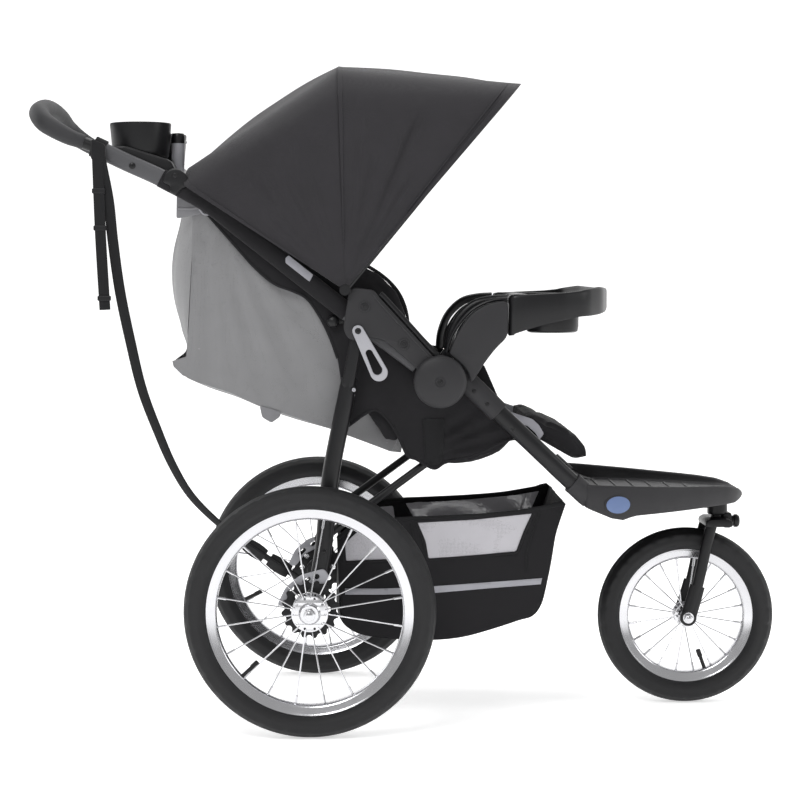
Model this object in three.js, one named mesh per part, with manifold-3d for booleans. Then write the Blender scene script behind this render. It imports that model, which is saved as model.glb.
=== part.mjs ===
import * as THREE from 'three';
import Module from 'manifold-3d';
import { mergeVertices } from 'three/addons/utils/BufferGeometryUtils.js';

// A three-wheeled jogging stroller, in millimetres: +X forward, +Y to its left, +Z up.
// Side outlines are [x, z] points measured from the ground below the rear axle. At the end
// the model is moved so that its origin lies on the ground at the middle of its length.

// ---------------------------------------------------------------- driving dimensions

const REAR_RADIUS = 200;
const FRONT_RADIUS = 150;
const TYRE_DEPTH = 37.5;
const TYRE_WIDTH = 47;
const RIM_DEPTH = 15.5;
const REAR_PLANE = 280;
const WHEELBASE = 634.7;
const STEERER_X = 689;
const GAP = 0.3;
const WHEEL_SEGMENTS = 32;

const TUBE_PLANE = 216;
const TUBE_HALF_WIDTH = 10;
const TUBE_HALF_DEPTH = 14;
const LINK_PLANE = 172;
const LEG_PLANE = 225;
const SEAT_HALF = 159.5;
const BASKET_HALF = 160;
const MESH_HALF = 203;

const FOLD_HUB = [207, 562];
const LEG_PIVOT = [77, 643];
const LINK_FOOT = [18, 303];
const LINK_TOP = [248, 471];
const CANOPY_PIVOT = [56.5, 708];
const SEAT_HINGE = [133, 470];
const SEAT_CROSS = [362, 452];

const BACK_ANGLE = THREE.MathUtils.degToRad(129.7);
const CANOPY_REAR = THREE.MathUtils.degToRad(142);
const CANOPY_MIDDLE = THREE.MathUtils.degToRad(91.8);
const CANOPY_FRONT = THREE.MathUtils.degToRad(49.4);
const HANDLE_BACK = -455;

// ---------------------------------------------------------------- materials

const material = (color, roughness, metalness) =>
  new THREE.MeshStandardMaterial({ color, roughness, metalness });

const blackPaint = material(0x17171a, 0.35, 0.6);
const greyPaint = material(0x6f7075, 0.4, 0.6);
const darkPlastic = material(0x444348, 0.6, 0);
const blackPlastic = material(0x161617, 0.3, 0);
const gripRubber = material(0x38383a, 0.8, 0);
const tyreRubber = material(0x1d1d1f, 0.85, 0);
const alloy = material(0xb9babd, 0.25, 0.9);
const latchSilver = material(0xa3a3a8, 0.45, 0.3);
const blackFabric = material(0x1b1a1d, 0.95, 0);
const canopyFabric = material(0x38363a, 0.9, 0);
const meshFabric = material(0x8f8f91, 0.95, 0);
const webbing = material(0x141415, 0.9, 0);

// ---------------------------------------------------------------- geometry helpers

const wasm = await Module();
wasm.setup();

// A geometry with only positions and shared vertices, its faces pointing out.
function closedSkin(geometry) {
  const bare = geometry.clone();
  bare.deleteAttribute('normal');
  bare.deleteAttribute('uv');
  const skin = mergeVertices(bare, 1e-4);
  const index = Uint32Array.from(skin.index.array);
  const corner = [0, 1, 2].map(() => new THREE.Vector3());
  let volume = 0;
  for (let i = 0; i < index.length; i += 3) {
    corner.forEach((point, k) => point.fromBufferAttribute(skin.attributes.position, index[i + k]));
    volume += corner[0].dot(corner[1].clone().cross(corner[2])) / 6;
  }
  if (volume < 0) {
    for (let i = 0; i < index.length; i += 3) {
      [index[i], index[i + 1]] = [index[i + 1], index[i]];
    }
  }
  return { positions: Float32Array.from(skin.attributes.position.array), index };
}

function toSolid(geometry) {
  const { positions, index } = closedSkin(geometry);
  return new wasm.Manifold(new wasm.Mesh({ numProp: 3, vertProperties: positions, triVerts: index }));
}

function toGeometry(solid) {
  const mesh = solid.getMesh();
  const geometry = new THREE.BufferGeometry();
  geometry.setAttribute('position', new THREE.BufferAttribute(Float32Array.from(mesh.vertProperties), 3));
  geometry.setIndex(new THREE.BufferAttribute(Uint32Array.from(mesh.triVerts), 1));
  const faceted = geometry.toNonIndexed();
  faceted.computeVertexNormals();
  return faceted;
}

function join(...pieces) {
  return toGeometry(pieces.map(toSolid).reduce((whole, piece) => whole.add(piece)));
}

function cut(body, ...tools) {
  return toGeometry(tools.map(toSolid).reduce((rest, tool) => rest.subtract(tool), toSolid(body)));
}

function overlap(a, b) {
  return toGeometry(toSolid(a).intersect(toSolid(b)));
}

const shapeOf = points => new THREE.Shape(points.map(([u, v]) => new THREE.Vector2(u, v)));

// An [x, z] outline made into a plate that spans y0 to y1.
function plate(outline, y0, y1) {
  const shape = Array.isArray(outline) ? shapeOf(outline) : outline;
  const depth = Math.abs(y1 - y0);
  const geometry = new THREE.ExtrudeGeometry(shape, { depth, bevelEnabled: false, curveSegments: 6 });
  geometry.rotateX(Math.PI / 2);
  geometry.translate(0, Math.max(y0, y1), 0);
  return geometry;
}

// An [x, y] outline made into a slab that spans z0 to z1.
function slab(outline, z0, z1) {
  const geometry = new THREE.ExtrudeGeometry(shapeOf(outline), { depth: z1 - z0, bevelEnabled: false });
  geometry.translate(0, 0, z0);
  return geometry;
}

function block([x0, x1], [y0, y1], [z0, z1]) {
  const geometry = new THREE.BoxGeometry(x1 - x0, y1 - y0, z1 - z0);
  geometry.translate((x0 + x1) / 2, (y0 + y1) / 2, (z0 + z1) / 2);
  return geometry;
}

// A round disc or pin along Y, centred on [x, z].
function roundY(radius, [x, z], y0, y1, sides = 20) {
  const geometry = new THREE.CylinderGeometry(radius, radius, Math.abs(y1 - y0), sides);
  geometry.translate(x, (y0 + y1) / 2, z);
  return geometry;
}

function roundZ(radius, x, y, z0, z1, sides = 20) {
  const geometry = new THREE.CylinderGeometry(radius, radius, z1 - z0, sides);
  geometry.rotateX(Math.PI / 2);
  geometry.translate(x, y, (z0 + z1) / 2);
  return geometry;
}

function roundX(radius, x0, x1, z, sides = 16) {
  const geometry = new THREE.CylinderGeometry(radius, radius, x1 - x0, sides);
  geometry.rotateZ(Math.PI / 2);
  geometry.translate((x0 + x1) / 2, 0, z);
  return geometry;
}

// A bar outline with round ends whose radii may differ.
function barOutline([ax, az], [bx, bz], endA, endB = endA, steps = 8) {
  const lean = Math.atan2(bz - az, bx - ax);
  const arc = (x, z, radius, start) => Array.from({ length: steps + 1 }, (_, i) => {
    const angle = start + (Math.PI * i) / steps;
    return [x + radius * Math.cos(angle), z + radius * Math.sin(angle)];
  });
  return [...arc(ax, az, endA, lean + Math.PI / 2), ...arc(bx, bz, endB, lean - Math.PI / 2)];
}

// A solid bar or tube with an oval section that follows [x, y, z] points. The section is
// halfWidth across Y and halfDepth in the side view.
function tubeAlong(points, halfWidth, halfDepth = halfWidth, steps = 8, sides = 10) {
  const section = Array.from({ length: sides }, (_, i) => {
    const angle = (2 * Math.PI * (i + 0.5)) / sides;
    return new THREE.Vector2(halfWidth * Math.cos(angle), halfDepth * Math.sin(angle));
  });
  const route = points.map(([x, y, z]) => new THREE.Vector3(x, y, z));
  const extrudePath = route.length === 2
    ? new THREE.LineCurve3(...route)
    : new THREE.CatmullRomCurve3(route, false, 'centripetal');
  return new THREE.ExtrudeGeometry(new THREE.Shape(section), { steps, extrudePath, bevelEnabled: false });
}

// A ring about an axis along Y through [x, z], from a closed [radius, y] profile.
function ringY(profile, [x, z], y, segments) {
  const loop = [...profile, profile[0]].map(([radius, offset]) => new THREE.Vector2(radius, offset));
  const geometry = new THREE.LatheGeometry(loop, segments);
  geometry.translate(x, y, z);
  return geometry;
}

const sleeveProfile = (inner, outer, y0, y1) => [[inner, y0], [outer, y0], [outer, y1], [inner, y1]];

// An outline moved inwards by a distance; its corners run anticlockwise.
function inset(outline, distance) {
  return outline.map((point, i) => {
    const before = outline[(i + outline.length - 1) % outline.length];
    const after = outline[(i + 1) % outline.length];
    const normal = ([ax, az], [bx, bz]) => {
      const length = Math.hypot(bx - ax, bz - az);
      return [-(bz - az) / length, (bx - ax) / length];
    };
    const [n, m] = [normal(before, point), normal(point, after)];
    const scale = distance / (1 + n[0] * m[0] + n[1] * m[1]);
    return [point[0] + scale * (n[0] + m[0]), point[1] + scale * (n[1] + m[1])];
  });
}

// A closed sheet of even thickness below a grid of points.
function sheet(rows, thickness) {
  const across = rows[0].length;
  const point = (i, j) => new THREE.Vector3(...rows[i][j]);
  const clampRow = i => Math.min(Math.max(i, 0), rows.length - 1);
  const clampColumn = j => Math.min(Math.max(j, 0), across - 1);
  const normalAt = (i, j) => {
    const alongRows = point(clampRow(i + 1), j).sub(point(clampRow(i - 1), j));
    const alongColumns = point(i, clampColumn(j + 1)).sub(point(i, clampColumn(j - 1)));
    return alongRows.cross(alongColumns).normalize();
  };
  const positions = [];
  const faces = [];
  for (const offset of [0, thickness]) {
    rows.forEach((row, i) => row.forEach((_, j) => {
      positions.push(...point(i, j).addScaledVector(normalAt(i, j), -offset).toArray());
    }));
  }
  const under = rows.length * across;
  const quad = (a, b, c, d) => faces.push(a, b, c, a, c, d);
  for (let i = 0; i < rows.length - 1; i++) {
    for (let j = 0; j < across - 1; j++) {
      const [a, b] = [i * across + j, i * across + j + 1];
      const [c, d] = [a + across, b + across];
      quad(a, c, d, b);
      quad(under + a, under + b, under + d, under + c);
    }
  }
  const rim = [];
  for (let j = 0; j < across - 1; j++) rim.push(j);
  for (let i = 0; i < rows.length - 1; i++) rim.push(i * across + across - 1);
  for (let j = across - 1; j > 0; j--) rim.push((rows.length - 1) * across + j);
  for (let i = rows.length - 1; i > 0; i--) rim.push(i * across);
  rim.forEach((a, k) => {
    const b = rim[(k + 1) % rim.length];
    quad(a, b, under + b, under + a);
  });
  const geometry = new THREE.BufferGeometry();
  geometry.setAttribute('position', new THREE.Float32BufferAttribute(positions, 3));
  geometry.setIndex(faces);
  return geometry;
}

// ---------------------------------------------------------------- the assembly

const frame = new THREE.Group();

function add(name, geometry, finish) {
  const mesh = new THREE.Mesh(toGeometry(toSolid(geometry)), finish);
  mesh.name = name;
  frame.add(mesh);
}

const SIDES = [['R', -1], ['L', 1]];
const mirrored = points => [...points, ...points.slice(0, -1).reverse().map(([x, y, z]) => [x, -y, z])];

// ---------------------------------------------------------------- wheels

function addWheel(prefix, suffix, centre, y, radius, hub) {
  const rimOuter = radius - TYRE_DEPTH;
  const rimInner = rimOuter - RIM_DEPTH;
  const middle = radius - TYRE_DEPTH / 2 + GAP / 2;
  const section = Array.from({ length: 8 }, (_, i) => {
    const angle = (Math.PI * i) / 4;
    return [middle + (TYRE_DEPTH / 2 - GAP / 2) * Math.cos(angle), (TYRE_WIDTH / 2) * Math.sin(angle)];
  });
  add(`${prefix}_tyre${suffix}`, ringY(section, centre, y, WHEEL_SEGMENTS), tyreRubber);
  const rim = [[rimInner, -8], [rimOuter, -11.5], [rimOuter, 11.5], [rimInner, 8]];
  add(`${prefix}_rim${suffix}`, ringY(rim, centre, y, WHEEL_SEGMENTS), alloy);
  const flangeAt = hub.halfWidth - 12;
  const spokes = Array.from({ length: 20 }, (_, i) => {
    const angle = (2 * Math.PI * i) / 20;
    const side = i % 2 ? 1 : -1;
    const at = (r, offset) => [centre[0] + r * Math.cos(angle), y + offset, centre[1] + r * Math.sin(angle)];
    return tubeAlong([at(hub.flange - 6, side * flangeAt), at(rimInner - 1, side)], 1.4, 1.4, 1, 3);
  });
  add(`${prefix}_hub${suffix}`, join(
    ringY(sleeveProfile(hub.bore, hub.bore + 7, -hub.halfWidth, hub.halfWidth), centre, y, 12),
    ringY(sleeveProfile(hub.bore + 2, hub.flange, flangeAt - 2, flangeAt + 2), centre, y, 16),
    ringY(sleeveProfile(hub.bore + 2, hub.flange, -flangeAt - 2, -flangeAt + 2), centre, y, 16),
    ...spokes,
  ), alloy);
}

function brakeDisc(y0, y1) {
  const outline = Array.from({ length: 32 }, (_, i) => {
    const radius = i % 4 < 2 ? 47 : 41;
    const angle = (2 * Math.PI * i) / 32;
    return [radius * Math.cos(angle), REAR_RADIUS + radius * Math.sin(angle)];
  });
  return cut(plate(outline, y0, y1), roundY(13.8, [0, REAR_RADIUS], y0 - Math.sign(y0), y1 + Math.sign(y1)));
}

for (const [side, s] of SIDES) {
  addWheel('rear', `_${side}`, [0, REAR_RADIUS], s * REAR_PLANE, REAR_RADIUS,
    { bore: 6.3, flange: 30, halfWidth: 30 });
  add(`brake_disc_${side}`, brakeDisc(s * 250.4, s * 253.4), blackPaint);
}
addWheel('front', '', [WHEELBASE, FRONT_RADIUS], 0, FRONT_RADIUS, { bore: 5.3, flange: 20, halfWidth: 26 });

// ---------------------------------------------------------------- rear frame

const rearAxle = join(
  roundY(6, [0, REAR_RADIUS], -314, 314, 14),
  roundY(10, [0, REAR_RADIUS], -320, -310.5, 6),
  roundY(10, [0, REAR_RADIUS], 310.5, 320, 6),
);
add('rear_axle', rearAxle, alloy);
add('rear_cross_tube', roundY(8, LINK_FOOT, -211, 211, 14), blackPaint);

for (const [side, s] of SIDES) {
  const legTube = tubeAlong([
    [62, s * LEG_PLANE, 566], [55.8, s * LEG_PLANE, 530], [31.4, s * LEG_PLANE, 404],
    [20, s * LEG_PLANE, 290], [5, s * LEG_PLANE, 206],
  ], 13.3, 13.5, 6, 8);
  add(`rear_leg_${side}`, cut(
    join(
      plate(barOutline(LEG_PIVOT, [61, 560], 10, 9), s * 227, s * 237),
      legTube,
      roundY(19, [0, REAR_RADIUS], s * 212, s * 238),
      roundY(5.5, LEG_PIVOT, s * 236, s * 249.6, 14),
    ),
    roundY(6.3, [0, REAR_RADIUS], s * 205, s * 245, 16),
  ), blackPaint);
  const pedal = [
    [-54, 205], [-40, 203], [-22, 226], [2, 238], [24, 240], [31, 250], [22, 264], [-17, 253], [-40, 234],
  ];
  add(`brake_pedal_${side}`, plate(pedal, s * 239, s * 244.8), latchSilver);
  add(`link_${side}`, cut(
    join(
      tubeAlong([LINK_FOOT, LINK_TOP].map(([x, z]) => [x, s * LINK_PLANE, z]), 6.5, 6.5, 1, 10),
      roundY(13, LINK_FOOT, s * (LINK_PLANE - 6.5), s * (LINK_PLANE + 6.5), 16),
    ),
    roundY(8.4, LINK_FOOT, s * 150, s * 190, 16),
  ), blackPaint);
}

// ---------------------------------------------------------------- lower frame

const frontTubeRoute = s => [
  [262, 216, 551], [300, 216, 513], [366, 213, 450], [425, 203, 394],
  [460, 192, 365], [500, 172, 353.5], [560, 134, 353], [620, 80, 353.5], [662, 24, 354],
].map(([x, y, z]) => [x, s * y, z]);
const frontTube = (s, extra) =>
  tubeAlong(frontTubeRoute(s), TUBE_HALF_WIDTH + extra, TUBE_HALF_DEPTH + extra, 14, 8);

for (const [side, s] of SIDES) {
  add(`front_tube_${side}`, frontTube(s, 0), blackPaint);
  const sleeve = tubeAlong([[222, s * TUBE_PLANE, 590], [302, s * TUBE_PLANE, 511]], 12.5, 17.5, 1, 10);
  add(`frame_hub_${side}`, cut(
    join(
      roundY(33, FOLD_HUB, s * 205, s * 227, 20),
      sleeve,
      roundY(7, FOLD_HUB, s * 226, s * 244.2, 16),
    ),
    frontTube(s, GAP),
  ), darkPlastic);
  add(`hub_cap_${side}`, ringY(
    [[0, 0], [42, 0], [42, 8], [36, 14], [22, 16.5], [0, 17]].map(([r, y]) => [r, s * y]),
    FOLD_HUB, s * 244.6, 20), darkPlastic);

  const armRoute = [
    [214, 602], [217, 630], [231, 664], [262, 690], [292, 694], [315.5, 694],
  ].map(([x, z]) => [x, s * 217, z]);
  add(`arm_tube_${side}`, tubeAlong(armRoute, 8, 7.5, 9, 8), blackPlastic);
  const armPanel = [
    [221, 606], [230, 598], [243, 588], [252, 576], [256, 560], [262, 566], [279, 593], [297, 616],
    [315.5, 633], [315.5, 690], [296, 689], [277, 683], [258, 671], [244, 654], [230, 630],
  ];
  add(`arm_panel_${side}`, plate(armPanel, s * 229, s * 242), darkPlastic);
}
add('seat_cross_tube', roundY(8, SEAT_CROSS, -202, 202, 14), blackPaint);

const headRing = ringY(sleeveProfile(11.4, 17, -21.5, 21.5), [0, 0], 0, 20);
headRing.rotateX(Math.PI / 2);
headRing.translate(STEERER_X, 0, 344.5);
const headTube = cut(
  join(headRing, block([636, 674], [-11, 11], [334, 366])),
  roundZ(12, STEERER_X, 0, 320, 370), frontTube(-1, GAP), frontTube(1, GAP),
);
add('head_tube', headTube, blackPaint);

// Footrest: a moulded tray with side flanges, open at the rear, that hides the two front tubes.
const deckHalf = [[441, 213], [475, 209], [560, 178], [640, 130], [698, 82], [720, 50], [728, 18]];
const deckPlan = [...deckHalf.map(([x, y]) => [x, -y]), ...[...deckHalf].reverse()];
const deckSide = [
  [441, 357], [470, 345], [490, 337], [512, 335.5], [530, 342], [600, 347], [709, 347], [728, 355],
  [728, 366], [712, 378], [600, 383], [441, 389],
];
const DECK_FLOOR = [369.5, 373];
const footrest = cut(
  overlap(slab(deckPlan, 330, 395), plate(deckSide, -230, 230)),
  slab(inset(deckPlan, 8), DECK_FLOOR[1], 400),
  slab(inset(deckPlan, 4), 325, DECK_FLOOR[0]),
  block([430, 456], [-182, 182], [320, 400]),
  frontTube(-1, GAP), frontTube(1, GAP),
);
add('footrest_deck', footrest, darkPlastic);

// ---------------------------------------------------------------- front fork

const crown = slab([[663, -44], [708, -30], [708, 30], [663, 44]], 304.5, 318);
const legOutline = barOutline([675, 308], [WHEELBASE, FRONT_RADIUS], 11, 11);
const fork = cut(
  join(
    crown,
    roundZ(11, STEERER_X, 0, 317, 365),
    plate(legOutline, -42, -31),
    plate(legOutline, 31, 42),
    roundX(5, 707, 712, 311, 12),
  ),
  roundY(5.3, [WHEELBASE, FRONT_RADIUS], -60, 60, 14),
);
add('front_fork', fork, blackPaint);
add('front_axle', join(
  roundY(5, [WHEELBASE, FRONT_RADIUS], -48, 48, 14),
  roundY(8.5, [WHEELBASE, FRONT_RADIUS], 42.3, 50, 6),
  roundY(8.5, [WHEELBASE, FRONT_RADIUS], -50, -42.3, 6),
), alloy);
add('swivel_lock_knob', join(roundX(9, 712.4, 727, 311, 14), roundX(11, 717, 724, 311, 14)), blackPlastic);

// ---------------------------------------------------------------- upper frame and handle

for (const [side, s] of SIDES) {
  const route = [
    [172, 588], [116, 630], [60, 672], [-20, 735], [-100, 798], [-165, 848],
    [-235, 886], [-290, 911], [-336, 933],
  ].map(([x, z]) => [x, s * TUBE_PLANE, z]);
  add(`upper_tube_${side}`, tubeAlong(route, TUBE_HALF_WIDTH, TUBE_HALF_DEPTH, 8, 8), greyPaint);

  const bracket = [
    [64, 713], [53, 645], [64, 627], [102, 632], [118, 628], [167, 586], [185, 562], [207, 540], [225, 562],
    [207, 590], [191, 608], [110, 697], [102, 708],
  ];
  add(`side_bracket_${side}`, cut(
    join(
      plate(bracket, s * 238, s * 244),
      roundY(30, FOLD_HUB, s * 238, s * 244, 24),
      roundY(5, [88, 682], s * 226.3, s * 246, 12),
      roundY(5, [150, 620], s * 226.3, s * 246, 12),
    ),
    roundY(7.4, FOLD_HUB, s * 230, s * 250, 16),
    roundY(5.9, LEG_PIVOT, s * 230, s * 250, 14),
  ), darkPlastic);

  add(`fold_latch_${side}`, cut(
    plate(barOutline(LEG_PIVOT, [110, 577], 9, 13.5), s * 244.8, s * 249),
    plate(barOutline([94, 609], [107, 583], 5, 6.5), s * 240, s * 255),
    roundY(5.9, LEG_PIVOT, s * 240, s * 255, 14),
  ), latchSilver);
}

const handleHalf = [
  [-338, 934.5, 216], [-382, 952, 216], [-417, 972, 208], [-434, 989, 176], [-438, 1003, 104],
  [HANDLE_BACK + 15, 1009, 0],
].map(([x, z, y]) => [x, -y, z]);
const handleRoute = mirrored(handleHalf);
add('handle_tube', tubeAlong(handleRoute, 10, 10, 20, 8), blackPaint);
const gripRoute = mirrored([[-357, -216, 942.8], ...handleHalf.slice(1)]);
add('handle_grip', cut(
  tubeAlong(gripRoute, 15, 15, 18, 8),
  tubeAlong(handleRoute, 10.9, 10.9, 20, 8),
), gripRubber);

// Parent console: a sloping tray between the tubes with a cup at each side and a bin between them.
const CUP = { x: -274, y: 150, bottom: 920, top: 977, radius: 47 };
const consoleSlab = [[-326, 919], [-222, 877], [-212, 891], [-222, 914], [-294, 938], [-328, 938]];
const cupWall = s => {
  const geometry = new THREE.CylinderGeometry(CUP.radius + 3, CUP.radius - 2, CUP.top - CUP.bottom, 20);
  geometry.rotateX(Math.PI / 2);
  geometry.translate(CUP.x, s * CUP.y, (CUP.top + CUP.bottom) / 2);
  return geometry;
};
const cupRoom = s => {
  const geometry = new THREE.CylinderGeometry(CUP.radius, CUP.radius - 5, CUP.top - CUP.bottom, 20);
  geometry.rotateX(Math.PI / 2);
  geometry.translate(CUP.x, s * CUP.y, (CUP.top + CUP.bottom) / 2 + 4);
  return geometry;
};
add('console_body', cut(
  join(
    plate(consoleSlab, -205.4, 205.4),
    cupWall(-1), cupWall(1),
    block([-322, -222], [-82, 82], [918, 957]),
  ),
  cupRoom(-1), cupRoom(1),
  block([-317, -227], [-77, 77], [922, 970]),
), blackPlastic);
add('console_lid', block([-321, -217], [-81, 81], [957.5, 961.5]), blackPlastic);

// ---------------------------------------------------------------- canopy

// A hoop across the stroller at a given angle about the canopy pivot, as [x, y, z] points.
function hoop(angle, plane, side, crownRadius, from = 0) {
  const profile = [
    [plane, from], [plane, 0.4 * side], [plane - 2, 0.7 * side], [plane - 9, 0.88 * side],
    [plane - 25, 0.965 * side], [plane - 58, 0.6 * side + 0.4 * crownRadius],
    [115, 0.25 * side + 0.75 * crownRadius], [0, crownRadius],
  ];
  const half = profile.map(([y, r]) => [
    CANOPY_PIVOT[0] + r * Math.cos(angle), -y, CANOPY_PIVOT[1] + r * Math.sin(angle),
  ]);
  return mirrored(half);
}

function bow(angle, plane, side, crownRadius) {
  return join(
    tubeAlong(hoop(angle, plane, side, crownRadius), 2, 5, 28, 6),
    roundY(9, CANOPY_PIVOT, plane - 2, plane + 2, 14),
    roundY(9, CANOPY_PIVOT, -plane - 2, -plane + 2, 14),
  );
}
add('canopy_middle_bow', bow(CANOPY_MIDDLE, 247.5, 329, 367), blackPlastic);
add('canopy_front_bow', bow(CANOPY_FRONT + 0.02, 252.5, 408, 431), blackPlastic);

// The fabric between two hoops, drawn tight in straight lines.
function canopyPanel(angleA, angleB, sizeA, sizeB) {
  const [a, b] = [hoop(angleA, 258, ...sizeA, 40), hoop(angleB, 258, ...sizeB, 40)];
  const rows = Array.from({ length: 5 }, (_, i) => a.map((point, j) =>
    point.map((value, k) => THREE.MathUtils.lerp(value, b[j][k], i / 4))));
  return sheet(rows, 2);
}
add('canopy_rear', canopyPanel(CANOPY_MIDDLE + 0.004, CANOPY_REAR, [334, 372], [314, 318]), canopyFabric);
add('canopy_front', canopyPanel(CANOPY_FRONT, CANOPY_MIDDLE - 0.004, [424, 447], [334, 372]), canopyFabric);

// ---------------------------------------------------------------- seat

const seatBase = [
  [158, 484], [168, 446], [208, 425], [262, 427], [310, 445], [338, 474], [341, 508], [300, 513], [230, 506],
  [172, 500],
];
add('seat_base', plate(seatBase, -SEAT_HALF, SEAT_HALF), blackFabric);
const legRest = [
  [344, 475], [375, 464], [431, 432], [457, 429], [471, 427], [466, 440], [424, 473], [361, 502], [344, 508],
];
add('leg_rest', plate(legRest, -150, 150), blackFabric);

// A point of the back's own plane: up along the backrest, then out of its front face.
const alongBack = (up, out) => [
  SEAT_HINGE[0] + up * Math.cos(BACK_ANGLE) + out * Math.sin(BACK_ANGLE),
  SEAT_HINGE[1] + up * Math.sin(BACK_ANGLE) - out * Math.cos(BACK_ANGLE),
];
const backOutline = [[16, -6], [470, -6], [490, 8], [488, 30], [470, 38], [70, 38], [16, 14]]
  .map(([up, out]) => alongBack(up, out));
add('seat_back', plate(backOutline, -SEAT_HALF + GAP, SEAT_HALF - GAP), blackFabric);

// Fabric wings stand beside the back and swing on its hinge rod, which they close round.
const WING_OUTSIDE = 187;
const wingOutline = [
  [124, 463], [143, 463], [150, 500], [155, 560], [157, 620], [156, 668], [142, 704], [112, 734], [66, 757],
  [0, 768], [-60, 758], [-95, 744],
];
add('seat_wings', join(
  roundY(5, SEAT_HINGE, -SEAT_HALF - 1, SEAT_HALF + 1, 12),
  plate(wingOutline, -WING_OUTSIDE, -SEAT_HALF),
  plate(wingOutline, SEAT_HALF, WING_OUTSIDE),
), blackFabric);

const crotchStrap = plate([[238, 507.5], [262, 509.5], [252, 545], [246, 545]], -14, 14);
const buckle = cut(
  join(crotchStrap, block([240, 258], [-24, 24], [536, 572])),
  block([247, 262], [-9, 9], [545, 563]),
);
add('harness_buckle', buckle, blackPlastic);
add('buckle_button', block([251.5, 258.5], [-8.6, 8.6], [545.4, 562.6]), darkPlastic);

// ---------------------------------------------------------------- mesh enclosure and basket

const meshOutline = [
  [-195, 852], [-214, 760], [-205, 680], [-205, 610], [-222, 590], [-170, 556],
  [-54, 520], [47, 490], [128, 452],
  [118, 470], [-184, 836],
];
const meshRoom = [
  [-192.6, 860], [-211.4, 760], [-202.5, 680], [-202.5, 609], [-216, 590], [-169, 558.6],
  [-53, 522.6], [48, 492.6],
  [131, 453.6], [160, 470], [-150, 862],
];
add('mesh_enclosure', cut(
  plate(meshOutline, -MESH_HALF, MESH_HALF),
  plate(meshRoom, -MESH_HALF + 2.5, MESH_HALF - 2.5),
), meshFabric);

const basketOutline = [
  [42, 300], [50, 164], [90, 141], [205, 136], [336, 166], [372, 180], [384, 205], [406, 315], [432, 374],
  [398, 362], [150, 338], [68, 321],
];
const basketRoom = inset(basketOutline, 3).map(([x, z], i) => [x, i > 7 || i === 0 ? z + 50 : z]);
add('basket', cut(
  plate(basketOutline, -BASKET_HALF, BASKET_HALF),
  plate(basketRoom, -BASKET_HALF + 3, BASKET_HALF - 3),
), blackFabric);

// ---------------------------------------------------------------- child tray

const trayHalf = [[317, 242], [400, 236], [445, 214], [474, 170], [487, 110], [492, 40]];
const trayPlan = [...trayHalf.map(([x, y]) => [x, -y]), ...[...trayHalf].reverse()];
const traySide = [
  [316, 660], [345, 650], [433, 655], [449, 664], [473, 673], [484, 684], [492, 696], [492, 712], [460, 712],
  [425, 706], [316, 702],
];
const trayCup = (radius, s, bottom, top) => roundZ(radius, 392, s * 165, bottom, top, 16);
add('child_tray', cut(
  join(
    cut(
      overlap(slab(trayPlan, 640, 720), plate(traySide, -250, 250)),
      slab(inset(trayPlan, 7), 697, 730),
      slab(inset(trayPlan, 5), 630, 693),
      block([310, 345], [-190, 190], [630, 730]),
    ),
    trayCup(43, -1, 641, 695), trayCup(43, 1, 641, 695),
  ),
  trayCup(39.5, -1, 645, 720), trayCup(39.5, 1, 645, 720),
), blackPlastic);

// ---------------------------------------------------------------- wrist tether

// A flat strap around the handle: a short doubled tail, and a long run to the rear axle.
const tetherRun = [
  [-332, -236, 930], [-327, -238, 905], [-317, -236, 850], [-311, -235, 788], [-301, -231, 708],
  [-286, -226, 629], [-268, -220, 549], [-245, -214, 484], [-222, -208, 428], [-194, -202, 379],
  [-155, -196, 337], [-115, -190, 304],
  [-67, -184, 271], [-19, -180, 238], [-3, -180, 224],
];
const tetherTail = [[-334, -238.5, 930], [-330, -239, 800], [-324, -238, 677]];
add('tether_strap', join(
  tubeAlong(tetherRun, 2, 9, 26, 8),
  tubeAlong(tetherTail, 3, 9, 8, 8),
  block([-344, -321], [-240, -229], [912, 945]),
), webbing);

// ---------------------------------------------------------------- origin

frame.position.x = -(HANDLE_BACK + WHEELBASE + FRONT_RADIUS) / 2;
const stroller = new THREE.Group();
stroller.add(frame);

export default stroller;
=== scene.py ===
"""A three-wheeled jogging stroller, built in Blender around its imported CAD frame.

Shapes are written in millimetres from the ground below the rear axle, +X forward and +Z up,
and make() moves them to the frame's own origin in metres."""
import math

import bmesh
import bpy
import numpy as np
from mathutils import Matrix, Vector, noise


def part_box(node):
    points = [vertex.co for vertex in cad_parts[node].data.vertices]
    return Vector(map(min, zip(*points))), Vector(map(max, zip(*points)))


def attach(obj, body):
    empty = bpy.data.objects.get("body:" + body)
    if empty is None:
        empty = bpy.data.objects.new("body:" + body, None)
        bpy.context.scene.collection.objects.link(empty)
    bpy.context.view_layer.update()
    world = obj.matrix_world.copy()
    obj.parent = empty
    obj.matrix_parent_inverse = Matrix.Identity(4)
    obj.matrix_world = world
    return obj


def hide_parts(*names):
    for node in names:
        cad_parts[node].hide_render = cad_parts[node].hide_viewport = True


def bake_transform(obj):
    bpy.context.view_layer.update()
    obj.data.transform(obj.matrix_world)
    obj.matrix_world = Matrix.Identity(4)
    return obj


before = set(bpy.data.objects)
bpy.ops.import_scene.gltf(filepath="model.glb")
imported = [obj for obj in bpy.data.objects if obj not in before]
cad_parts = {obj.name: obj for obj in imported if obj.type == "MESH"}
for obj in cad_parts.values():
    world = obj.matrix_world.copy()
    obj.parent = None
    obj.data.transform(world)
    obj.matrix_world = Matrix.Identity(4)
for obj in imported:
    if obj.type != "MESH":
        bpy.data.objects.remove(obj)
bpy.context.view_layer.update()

# ---- driving dimensions, in mm

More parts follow.
